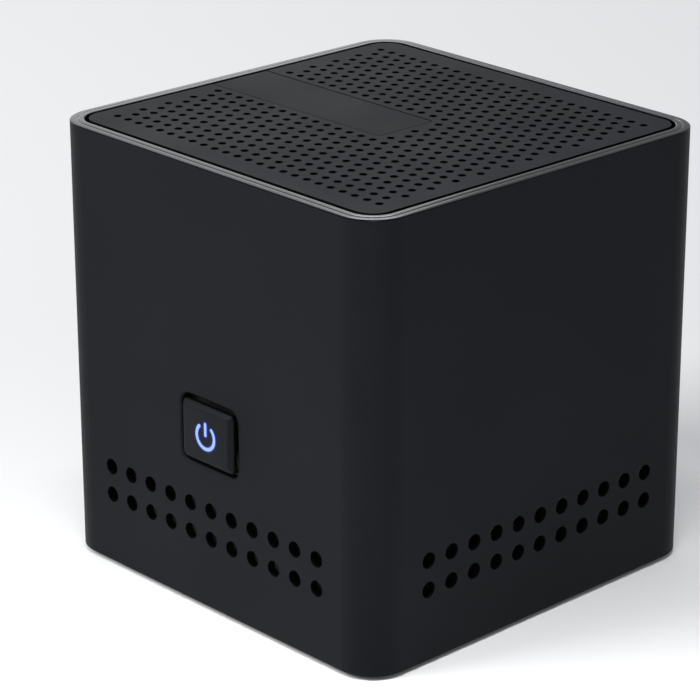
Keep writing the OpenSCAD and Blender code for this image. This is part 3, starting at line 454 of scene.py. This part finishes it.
# For each node its screws: [place, turn, head radius, head height, shank radius, shank length]
SCREWS = {
    "base_screws": [(at, DOWN, 2.7, 0.7, 1.48, 8.4) for at in corners(BOSS_AT, BOSS_AT, 2.0)],
    "grille_screws": [(at, DOWN, 2.7, 1.6, 1.48, 9.6) for at in corners(BOSS_AT, BOSS_AT, 101)],
    "fan_screws": [(at, UP, 3.36, 1.6, 1.98, 17.2) for at in corners(FAN_HOLE, FAN_HOLE, BRACKET_TOP)],
    "drive_screws": [
        *[((DRIVE_SIDE, DRIVE_MIDDLE[0] + y, DRIVE_MIDDLE[1] + z), TO_LEFT, 2.7, 1.2, 1.48, 3.4)
          for y, z, _ in corners(38.3, 30.86)],
        *[((-47.7, y, BRACKET_TOP), UP, 2.51, 1.6, 1.48, 3.6) for y in (-25, 25)]],
    "heatsink_screws": [(at, UP, 3.0, 1.8, 1.48, 11.4) for at in corners(SINK_SCREW, SINK_SCREW, 20.8)],
    "board_screws": [(at, UP, 2.51, 1.6, 1.48, 6.1) for at in corners(*BOARD_HOLE, BOARD_TOP)],
    "switch_board_screws": [((x, -44, 46.7), TO_REAR, 2.3, 1.4, 1.23, 9.8) for x in (-14, 14)],
}
for node, places in SCREWS.items():
    black = node == "base_screws"
    piece(node + "_cut", [screw(*each) for each in places], black_oxide if black else zinc, "case",
          [node], 30)
dress(zinc, "fan_shaft", "coin_cell")


# ---- Fan, bracket and duct --------------------------------------------------------------------
# An 80 mm fan hangs under a galvanised bracket and draws through a moulded duct. Its impeller turns
# on the rotor body, and its coils and its lead stay with the case.

def galvanised(name, colour, rough=0.38):
    """Zinc-dipped sheet: flat crystals a few millimetres wide, each with its own gloss."""
    mat, shader = finish_of(name, colour, rough, 1.0)
    place = place_of(mat)
    spangle = put(mat, "ShaderNodeTexVoronoi", {"Vector": place, "Scale": 0.35}, feature="F1")
    grey = put(mat, "ShaderNodeRGBToBW", {"Color": spangle.outputs["Color"]}).outputs[0]
    link(mat, tint(mat, grey, [c * 0.8 for c in colour], [min(1, c * 1.1) for c in colour], 0.2, 0.8),
         shader, "Base Color")
    link(mat, spread(mat, grey, rough - 0.07, rough + 0.07), shader, "Roughness")
    relief(mat, shader, noise(mat, place, 2.0), 0.004)
    return mat


sheet_steel = galvanised("galvanised sheet", (0.5, 0.51, 0.52))
dress(sheet_steel, "fan_bracket", "drive_bracket")
black_nylon = moulded("black glass-filled nylon", (0.012, 0.012, 0.013), 0.55, 2.5, 0.015)
dress(black_nylon, "fan_frame", "air_duct", "memory_socket", "m2_sockets", "cell_holder",
      "dc_inlet", "audio_jack", "button_guide", "tact_plunger", "tact_switch")


HUB_R, BLADE_TIP, BLADES = 15.0, 37.4, 7
BLADE_MIDDLE, BLADE_RISE, BLADE_CAMBER, BLADE_THICK = 97.2, 4.3, 1.1, 0.7
HUB_SECTION = np.array([[15.0, 91.6], [15.0, 102.2], [14.8, 102.7], [14.3, 103.0], [2.6, 103.0], [2.2, 102.8],
                        [1.5, 102.8], [1.5, 101.8], [13.4, 101.8], [13.4, 91.6]])


def ring_of(section, steps=64):
    """A closed section of [radius, height] turned round Z."""
    angle = np.linspace(0, 2 * np.pi, steps, endpoint=False)
    radius, height = section.T[:, :, None]
    return surface(np.stack([radius * np.cos(angle), radius * np.sin(angle), height + 0 * angle], -1),
                   wrap_rows=True)


def fan_blade(first_angle, rows=24, columns=14):
    """A swept, cambered blade. Across the chord t runs -1 to 1 and back: the angle is the first angle plus
    the sweep plus t times half the chord, the height rises with t and bulges by the camber times
    1 - t squared, and the thickness is a half ellipse on each side."""
    around = np.linspace(0, 2 * np.pi, rows, endpoint=False)[:, None]
    radius = np.linspace(HUB_R - 0.4, BLADE_TIP, columns)[None, :]
    out = (radius - HUB_R) / (BLADE_TIP - HUB_R)
    t, side = np.cos(around), np.sin(around)
    half_chord = 0.36 - 0.08 * out
    angle = first_angle + 0.32 * out ** 1.6 + t * half_chord
    height = (BLADE_MIDDLE + BLADE_RISE * t * (1 - 0.12 * out) + BLADE_CAMBER * (1 - t ** 2)
              + BLADE_THICK * side)
    return surface(np.stack([radius * np.cos(angle), radius * np.sin(angle), height], -1)
                   .transpose(1, 0, 2), cap_start=True, cap_end=True)


blades = [fan_blade(2 * np.pi * k / BLADES) for k in range(BLADES)]
piece("fan_impeller", [ring_of(HUB_SECTION), *blades], black_nylon, "rotor",
      ["fan_rotor"], 40)


def rod(points, radius, sides=8):
    """A round wire along a path: at each point, a circle square to the path's direction."""
    points = np.array(points, float)
    along = np.gradient(points, axis=0)
    along /= np.linalg.norm(along, axis=1, keepdims=True)
    rough_side = np.where(np.abs(along[:, 2:]) < 0.9, [[0, 0, 1]], [[0, 1, 0]])
    across = np.cross(along, rough_side)
    across /= np.linalg.norm(across, axis=1, keepdims=True)
    upward = np.cross(across, along)
    angle = np.linspace(0, 2 * np.pi, sides, endpoint=False)[None, :, None]
    grid = points[:, None] + radius * (np.cos(angle) * across[:, None] + np.sin(angle) * upward[:, None])
    return surface(grid, cap_start=True, cap_end=True)


copper, copper_shader = finish_of("enamelled copper windings", (0.45, 0.18, 0.07), 0.3, 1.0)
wire_bands = put(copper, "ShaderNodeTexWave", {
    "Vector": place_of(copper), "Scale": 1.2, "Distortion": 0.3}, bands_direction="Z").outputs["Fac"]
link(copper, tint(copper, wire_bands, (0.2, 0.07, 0.03), (0.55, 0.24, 0.09), 0.1, 0.8), copper_shader,
     "Base Color")
relief(copper, copper_shader, wire_bands, 0.05)
dress(copper, "fan_stator")

# Each of the four poles carries a coil of enamelled wire, five turns wide
COIL_TURNS, COIL_FROM, COIL_STEP, COIL_WIRE = 5, 7.3, 0.44, 0.2
COIL_HALF_WIDE, COIL_HALF_TALL, COIL_Z = 2.35, 3.8, 95.1


def pole_coil(turn):
    """Wire wound round one pole: x grows with the angle, y and z go round a rounded rectangle."""
    a = np.linspace(0, 2 * np.pi * COIL_TURNS, 24 * COIL_TURNS)
    c, s = np.cos(a), np.sin(a)
    path = np.stack([COIL_FROM + COIL_STEP * a / (2 * np.pi),
                     COIL_HALF_WIDE * np.sign(c) * np.abs(c) ** 0.35,
                     COIL_Z + COIL_HALF_TALL * np.sign(s) * np.abs(s) ** 0.35], 1)
    path = path @ np.array([[np.cos(turn), np.sin(turn), 0], [-np.sin(turn), np.cos(turn), 0], [0, 0, 1]])
    return rod(path, COIL_WIRE, 6)


piece("fan_coils", [pole_coil(k * np.pi / 2) for k in range(4)], copper, "case")
insulation = moulded("black cable insulation", (0.014, 0.014, 0.015), 0.5, 1.5, 0.01)
dress(insulation, "sata_cable")


def rounded_path(knees, radius=2.0, steps=6):
    """A path through right-angled knees, each replaced by a quarter circle of the given radius."""
    knees = [np.array(k, float) for k in knees]
    path = [knees[0]]
    for before, knee, after in zip(knees, knees[1:], knees[2:]):
        back = (before - knee) / np.linalg.norm(before - knee)
        on = (after - knee) / np.linalg.norm(after - knee)
        centre = knee + radius * (back + on)
        for a in np.linspace(0, np.pi / 2, steps + 1):
            path.append(centre - radius * (on * np.cos(a) + back * np.sin(a)))
    path.append(knees[-1])
    return np.array(path)


# The fan's lead and the front panel's lead are flat bundles of four round wires
LEAD_Z, FAN_LEAD_X, PANEL_LEAD_Y = 16.4, 40.4, -42.6
fan_lead = [rod(rounded_path([(35.2, y, LEAD_Z), (FAN_LEAD_X, y, LEAD_Z), (FAN_LEAD_X, y, 92.8)]), 0.38)
            for y in (-38.5, -37.5, -36.5, -35.5)]
piece("fan_lead", fan_lead, insulation, "case", ["fan_cable"], 60)
panel_lead = [rod(rounded_path([(x, -44.8, LEAD_Z), (x, PANEL_LEAD_Y, LEAD_Z), (x, PANEL_LEAD_Y, 43.4)], 1.2),
                  0.5) for x in (6.7, 7.9, 9.1, 10.3)]
panel_plug = bar((5.05, -43.95, 39.75), (11.95, -41.05, 43.65), 0.2)
piece("panel_lead", [*panel_lead, panel_plug], insulation, "case", ["panel_cable"], 60)


# ---- Heatsink and processor -------------------------------------------------------------------
# Extruded aluminium fins stand over the processor, with a soft pad between them. Four screws press
# the base down through coil springs.

def extruded(name, colour, rough, along=(1, 0.02, 1)):
    """Bare metal with the long lines of a die or a roller; along is short where the lines run."""
    mat, shader = finish_of(name, colour, rough, 1.0)
    lines = noise(mat, place_of(mat, along), 6.0, 3)
    link(mat, spread(mat, lines, rough - 0.08, rough + 0.1), shader, "Roughness")
    relief(mat, shader, lines, 0.006)
    return mat


sink_metal = extruded("extruded aluminium", (0.55, 0.56, 0.58), 0.36)
dress(sink_metal, "heatsink", "heatsink_fins", "capacitors")
drive_metal = extruded("drive lid, cast aluminium", (0.38, 0.39, 0.41), 0.42, (1, 1, 0.03))
dress(drive_metal, "storage_drive")
spring_wire = plated("bright spring wire", (0.6, 0.61, 0.62), 0.25)
SPRING_LOW, SPRING_HIGH, SPRING_R, SPRING_WIRE, SPRING_TURNS = 16.8, 20.8, 2.15, 0.33, 4.5


def coil_spring(place):
    """A helix whose pitch eases to nothing at both ends, so that its end coils lie flat."""
    a = np.linspace(0, 2 * np.pi * SPRING_TURNS, int(28 * SPRING_TURNS))
    part = a / a[-1]
    eased = part - np.sin(2 * np.pi * part) / (2 * np.pi) * 0.55
    z = SPRING_LOW + SPRING_WIRE + (SPRING_HIGH - SPRING_LOW - 2 * SPRING_WIRE) * eased
    x, y = place[0] + SPRING_R * np.cos(a), place[1] + SPRING_R * np.sin(a)
    return rod(np.stack([x, y, z], 1), SPRING_WIRE)


piece("clamp_springs", [coil_spring(at) for at in corners(SINK_SCREW, SINK_SCREW)], spring_wire, "case",
      ["heatsink_springs"], 60)
pad = moulded("thermal pad", (0.30, 0.38, 0.46), 0.7, 2.0, 0.01)
dress(pad, "thermal_pad")
chip = moulded("chip resin", (0.022, 0.022, 0.024), 0.5, 4.0, 0.008)
dress(chip, "power_inductors", "processor")


# ---- Boards -----------------------------------------------------------------------------------
# Glass-fibre boards under a green or blue solder mask, with copper tracks showing through as relief.
# Small chips and rows of ceramic capacitors stand on the main board.

def circuit_board(name, mask, track):
    """Solder mask over tracks: a fine grid of bricks stands for the routed copper."""
    mat, shader = finish_of(name, mask, 0.35, specular=0.5)
    place = place_of(mat)
    tracks = put(mat, "ShaderNodeTexBrick", {
        "Vector": place, "Scale": 0.35, "Mortar Size": 0.035, "Brick Width": 1.9, "Row Height": 0.45,
        "Color1": (0, 0, 0, 1), "Color2": (0.15, 0.15, 0.15, 1), "Mortar": (1, 1, 1, 1)})
    lit = put(mat, "ShaderNodeRGBToBW", {"Color": tracks.outputs["Color"]}).outputs[0]
    link(mat, tint(mat, lit, mask, track, 0.1, 0.9), shader, "Base Color")
    relief(mat, shader, lit, 0.03)
    return mat


green_board = circuit_board("board, green solder mask", (0.010, 0.06, 0.025), (0.03, 0.16, 0.07))
dress(green_board, "motherboard", "memory_module", "switch_board")
blue_card = circuit_board("card, blue solder mask", (0.010, 0.025, 0.09), (0.03, 0.07, 0.2))
dress(blue_card, "ssd_module", "wifi_card")

# Chips on the main board's top face, as [x, y, size along x, size along y, height]: network and sound
# chips near the sockets, and controllers round the other sides
BOARD_CHIPS = [(20, 33.2, 7, 5, 0.9), (8, 34.5, 5, 5, 0.9), (-8, 34.5, 6, 6, 0.9), (-22, 36, 5, 4, 0.8),
               (36, 27, 5, 5, 0.9), (-37, 12, 7, 7, 1.0), (-38, -2, 5, 4, 0.8), (-20, -37, 6, 5, 0.9),
               (24, -38, 4, 4, 0.8)]
chips = [bar((x - a / 2, y - b / 2, BOARD_TOP), (x + a / 2, y + b / 2, BOARD_TOP + h), 0.12)
         for x, y, a, b, h in BOARD_CHIPS]
piece("board_chips", chips, chip, "case")

# Beside each chip stands a row of three ceramic capacitors with tinned ends
end_cap = plated("tinned ends", (0.62, 0.62, 0.63), 0.3)
ceramic = moulded("ceramic, tan", (0.30, 0.21, 0.12), 0.45, 4.0, 0.004)
bodies, ends = [], []
for x, y, a, b, _ in BOARD_CHIPS:
    for k in range(3):
        at_x, at_y = x - a / 2 + 0.8 + 1.6 * k, y - b / 2 - 1.2
        bodies.append(bar((at_x - 0.35, at_y - 0.3, BOARD_TOP),
                          (at_x + 0.35, at_y + 0.3, BOARD_TOP + 0.55), 0.05))
        for end_x in (at_x - 0.45, at_x + 0.45):
            ends.append(bar((end_x - 0.15, at_y - 0.34, BOARD_TOP),
                            (end_x + 0.15, at_y + 0.34, BOARD_TOP + 0.6), 0.04))
piece("small_capacitors", bodies, ceramic, "case")
piece("capacitor_ends", ends, end_cap, "case")

# The drive and radio cards have a row of gold contacts along the edge that plugs into its socket
CARD_EDGE_X, CARD_EDGES_Y, CARD_Z, FINGERS = -37.9, (-10.4, 13.6), 7.0, 34
fingers = [bar((CARD_EDGE_X, y + 0.5 * k, CARD_Z),
               (CARD_EDGE_X + 2.2, y + 0.5 * k + 0.32, CARD_Z + 0.06), 0.02)
           for y in CARD_EDGES_Y for k in range(FINGERS)]
piece("card_fingers", fingers, plated("gold fingers", (0.75, 0.52, 0.18), 0.25), "case")

foil = plated("foil antennas", (0.30, 0.22, 0.08), 0.4)
dress(foil, "wifi_antennas")
nylon = moulded("grey nylon", (0.16, 0.155, 0.145), 0.45, 2.0, 0.01)
dress(nylon, "board_headers")


# ---- Rear connectors --------------------------------------------------------------------------
# Nickel-plated steel shells stand in a brushed, tin-plated rear panel. Gold-plated contacts lie on
# the moulded tongues inside them, and the power socket has a brass pin.

io_plate = extruded("tin-plated shield", (0.42, 0.43, 0.45), 0.36, (0.03, 1, 1))
dress(io_plate, "rear_io_panel")
nickel = plated("nickel-plated shells", (0.55, 0.56, 0.57), 0.26)
dress(nickel, "hdmi_socket", "usb_sockets", "lan_socket")
blue_tongue = moulded("blue moulded tongues", (0.02, 0.10, 0.45), 0.4, 3.0, 0.006)
dress(blue_tongue, "usb_tongues")

REAR_Y = 57.2
USB_X, HDMI_X, LAN_X, DC_X = (-7.1, 8.5), -23.1, 25, -36.75
gold = plated("gold-plated contacts", (0.75, 0.52, 0.18), 0.25)


def strip(x, wide, y_from, y_to, z, thick=0.12):
    """A flat contact that lies along Y, centred on x, with its underside at z."""
    return bar((x - wide / 2, y_from, z), (x + wide / 2, y_to, z + thick), 0.04)


# Under each blue tongue lie four long contacts, and five short ones stand nearer its tip
usb_contacts = []
for x in USB_X:
    for port in (0, 1):
        under = BOARD_TOP + 1.4 + 7.6 * port + 2.7 - 0.1
        usb_contacts += [strip(x + dx, 1.1, REAR_Y - 11, REAR_Y - 4.2, under)
                         for dx in (-3.5, -1.0, 1.0, 3.5)]
        usb_contacts += [strip(x + dx, 0.7, REAR_Y - 3.6, REAR_Y - 2.2, under) for dx in (-4, -2, 0, 2, 4)]
piece("usb_contacts", usb_contacts, gold, "case")

# The display socket's tongue has ten contacts on top and nine below
tongue_low, tongue_high = BOARD_TOP + 0.7 + 2.2, BOARD_TOP + 0.7 + 3.2
piece("hdmi_tongue", [bar((HDMI_X - 5.22, REAR_Y - 9.6, tongue_low - 0.03),
                          (HDMI_X + 5.22, REAR_Y - 1.47, tongue_high + 0.03), 0.15)], black_nylon, "case")
hdmi_contacts = [strip(HDMI_X + first + k, 0.5, REAR_Y - 9, REAR_Y - 1.9, z, 0.1)
                 for first, count, z in ((-4.5, 10, tongue_high), (-4.0, 9, tongue_low - 0.1))
                 for k in range(count)]
piece("hdmi_contacts", hdmi_contacts, gold, "case")

# Eight sprung wires slope down and back from the roof of the network socket, as [y, z] from the
# rear face and the socket's floor
lan_low = BOARD_TOP + 1.4
LAN_WIRE = np.array([[-1.6, 8.8], [-2.2, 8.75], [-2.9, 8.3], [-6.0, 6.7], [-9.5, 5.0], [-11.0, 4.5],
                     [-13.6, 4.4]]) + [REAR_Y, lan_low]
lan_wires = [rod(np.insert(LAN_WIRE, 0, LAN_X + 1.02 * (k - 3.5), axis=1), 0.2) for k in range(8)]
piece("lan_contacts", lan_wires, gold, "case")

# Two lamp windows over the network socket, green and amber when lit
for name, side, colour in (("green", -1, (0.05, 0.30, 0.06)), ("amber", 1, (0.55, 0.26, 0.03))):
    window = moulded(f"{name} lamp window", colour, 0.25, 0.8, 0.002, 0.5)
    middle = LAN_X + side * 5.2
    piece(f"lan_lamp_{name}", [bar((middle - 1.45, REAR_Y - 0.3, lan_low + 9.85),
                                   (middle + 1.45, REAR_Y - 0.02, lan_low + 11.35), 0.05)],
          window, "case")

# The power socket's pin has a rounded tip
PIN_PROFILE = [[1.0, 0], [1.0, 8.3], [0.95, 8.6], [0.8, 8.82], [0.5, 8.96], [0.15, 9.0]]
piece("power_pin", [spun(PIN_PROFILE, (DC_X, REAR_Y - 10, BOARD_TOP + 6), TO_REAR, 32)], brass, "case",
      ["dc_pin"])


# ---- Power button -----------------------------------------------------------------------------
# A moulded cap in the same satin charcoal slides in the front wall on two hooked legs. A clear light
# guide is set flush in its face, and a stem behind it pushes the switch.

BUTTON_SIZE = (18.0, 15.0)
BUTTON_Z, BUTTON_FACE, BUTTON_BACK, BUTTON_SHADE_FROM = 46.7, -57.18, -55.1, -56.0
# Steps of the cap from the back to the face: [inset of the outline, y, corner radius]
CAP_STEPS = np.array([
    [0.25, -55.10, 1.2], [0.05, -55.16, 1.2], [0.00, -55.30, 1.2], [0.00, -56.00, 1.2], [0.03, -56.14, 1.2],
    [0.12, -56.27, 1.2], [0.78, -56.93, 1.1], [0.93, -57.07, 1.1], [1.12, -57.15, 1.1], [1.40, -57.18, 1.1]])


def upright(loop, y):
    """Stands a flat loop up in the plane of the front wall, at one y."""
    return np.stack([loop[:, 0], np.full(len(loop), y), loop[:, 1] + BUTTON_Z], 1)


TO_FRONT = np.array([[1, 0, 0], [0, 0, -1], [0, 1, 0]])
cap = surface(np.stack([
    upright(rounded_rectangle(BUTTON_SIZE[0] - 2 * inset, BUTTON_SIZE[1] - 2 * inset, radius), y)
    for inset, y, radius in CAP_STEPS]), cap_start=True, cap_end=True)
LEG_X, LEG_TALL, HOOK_FROM, LEG_END = 6.4, 5.0, -50.15, -49.3
legs = []
for side in (-1, 1):
    low, high = BUTTON_Z - LEG_TALL / 2, BUTTON_Z + LEG_TALL / 2
    inner, outer, hook = side * (LEG_X - 0.8), side * (LEG_X + 0.8), side * (LEG_X + 1.3)
    legs.append(bar((min(inner, outer), BUTTON_BACK - 0.1, low), (max(inner, outer), LEG_END, high)))
    legs.append(bar((min(inner, hook), HOOK_FROM, low), (max(inner, hook), LEG_END, high)))
stem = spun([[1.3, 0], [1.45, 0.1], [1.5, 0.3], [1.5, 5.2]], (0, -50.1, 41.0), TO_FRONT, 32)

button_paint, button_shader, button_coat = satin_paint(
    "button, satin charcoal", (0.0028, 0.0030, 0.0042), 0.5, 0.12)
spot = axes_of(button_paint, put(button_paint, "ShaderNodeMapping", {
    "Vector": place_of(button_paint), "Location": (0, 0, -BUTTON_Z)}).outputs["Vector"])


def length_of(mat, across, up):
    """Distance from the origin, as the root of the sum of the two squares."""
    return maths(mat, "SQRT", maths(mat, "ADD", maths(mat, "MULTIPLY", across, across),
                                    maths(mat, "MULTIPLY", up, up)))


# Light that spills from the sign onto the cap: it fades with the distance from the sign's centre line,
# which is a ring open at the top and an upright bar
RING_R, RING_OPEN_FROM, BAR_LOW, BAR_TOP = 3.15, 2.3, 0.4, 3.2
from_ring = maths(button_paint, "ABSOLUTE", maths(
    button_paint, "SUBTRACT", length_of(button_paint, spot["X"], spot["Z"]), RING_R))
in_opening = maths(button_paint, "GREATER_THAN", spot["Z"], RING_OPEN_FROM)
beyond_bar = maths(button_paint, "SUBTRACT", spot["Z"], maths(
    button_paint, "MAXIMUM", BAR_LOW, maths(button_paint, "MINIMUM", BAR_TOP, spot["Z"])))
from_bar = length_of(button_paint, spot["X"], beyond_bar)
from_sign = maths(button_paint, "MINIMUM", maths(button_paint, "ADD", from_ring, in_opening), from_bar)
spill = put(button_paint, "ShaderNodeMapRange", {
    "Value": from_sign, "From Min": 0.35, "From Max": 1.25, "To Min": 1.0, "To Max": 0.0}).outputs["Result"]
on_face = maths(button_paint, "LESS_THAN", spot["Y"], BUTTON_FACE + 0.1)
spill_on_face = maths(button_paint, "MULTIPLY", maths(button_paint, "MULTIPLY", spill, spill), on_face)
halo = tint(button_paint, spill_on_face, (0, 0, 0), (0.022, 0.060, 0.27), 0.0, 1.0)
link(button_paint, halo, button_shader, "Emission Color")
button_shader.inputs["Emission Strength"].default_value = 1.0
# Painted shade: the cap's sides behind the front of the wall are painted near-black
paint_shade_black(button_paint, button_shader, button_coat,
           maths(button_paint, "GREATER_THAN", spot["Y"], BUTTON_SHADE_FROM))
piece("button_cap", [cap, *legs, stem], button_paint, "button", ["power_button"])

glow, glow_shader = finish_of("light guide, lit blue", (0.1, 0.15, 0.6), 0.3, Emission_Strength=1.0)
at_face = maths(glow, "LESS_THAN", axes_of(glow)["Y"], BUTTON_FACE + 0.05)
link(glow, tint(glow, at_face, (0.0, 0.0, 0.002), (0.22, 0.30, 0.88), 0.0, 1.0), glow_shader,
     "Emission Color")
dress(glow, "power_symbol")
lens = moulded("clear lamp resin", (0.55, 0.57, 0.62), 0.25, 0.5, 0.002, 0.5)
dress(lens, "status_led")


# ---- Floor, lights and camera -----------------------------------------------------------------
# A pale floor under a large key softbox in front and a weak one behind. A small softbox picks out the
# trim ring, and another lightens the floor to the right.

FLOOR = 6
floor_mesh = bpy.data.meshes.new("floor")
floor_mesh.from_pydata([(-FLOOR, -FLOOR, 0), (FLOOR, -FLOOR, 0), (FLOOR, FLOOR, 0), (-FLOOR, FLOOR, 0)],
                       [], [(0, 1, 2, 3)])
floor = bpy.data.objects.new("floor", floor_mesh)
bpy.context.scene.collection.objects.link(floor)
floor_finish, _ = finish_of("pale floor", (0.86, 0.86, 0.86), 0.9, specular=0.1)
floor_mesh.materials.append(floor_finish)
floor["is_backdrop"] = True


def soft_light(name, at, towards, size, power):
    """A square softbox facing a point."""
    lamp = bpy.data.lights.new(name, "AREA")
    lamp.shape, lamp.size, lamp.energy = "SQUARE", size, power
    made = bpy.data.objects.new(name, lamp)
    bpy.context.scene.collection.objects.link(made)
    made.location = at
    made.rotation_mode = "QUATERNION"
    made.rotation_quaternion = (Vector(towards) - Vector(at)).to_track_quat("-Z", "Y")
    return made


soft_light("key softbox", (-0.7, -1.2, 1.1), (0, 0, 0.05), 0.9, 23.5)
soft_light("back softbox", (-1.4, 0.9, 0.7), (0, 0, 0.1), 0.8, 1.9)
soft_light("rim softbox", (-0.727, 0.684, 0.652), (0.05, -0.05, 0.11), 0.12, 0.2)
floor_light = soft_light("floor softbox", (0.33, -0.33, 1.2), (0.28, -0.28, 0), 0.3, 1.75)
floor_light.data.spread = math.radians(40)

world = bpy.data.worlds.new("studio")
bpy.context.scene.world = world
world.use_nodes = True
backdrop = world.node_tree.nodes["Background"]
backdrop.inputs["Color"].default_value = (0.93, 0.96, 1.0, 1)
backdrop.inputs["Strength"].default_value = 0.56
bpy.context.scene.view_settings.view_transform = "Standard"

camera_data = bpy.data.cameras.new("camera")
camera_data.sensor_width = 36
camera_data.lens = 156.4
camera_data.shift_x, camera_data.shift_y = -0.1624, 0.0483
camera = bpy.data.objects.new("camera", camera_data)
bpy.context.scene.collection.objects.link(camera)
CAMERA_AT = (0.5120, -0.4874, 0.3271)
HEADING, TILT, ROLL = 44.71, 68.23, 0.73
camera.matrix_world = (
    Matrix.Translation(CAMERA_AT)
    @ Matrix.Rotation(math.radians(HEADING), 4, "Z")
    @ Matrix.Rotation(math.radians(TILT), 4, "X")
    @ Matrix.Rotation(math.radians(ROLL), 4, "Z"))
bpy.context.scene.camera = camera

low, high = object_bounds()
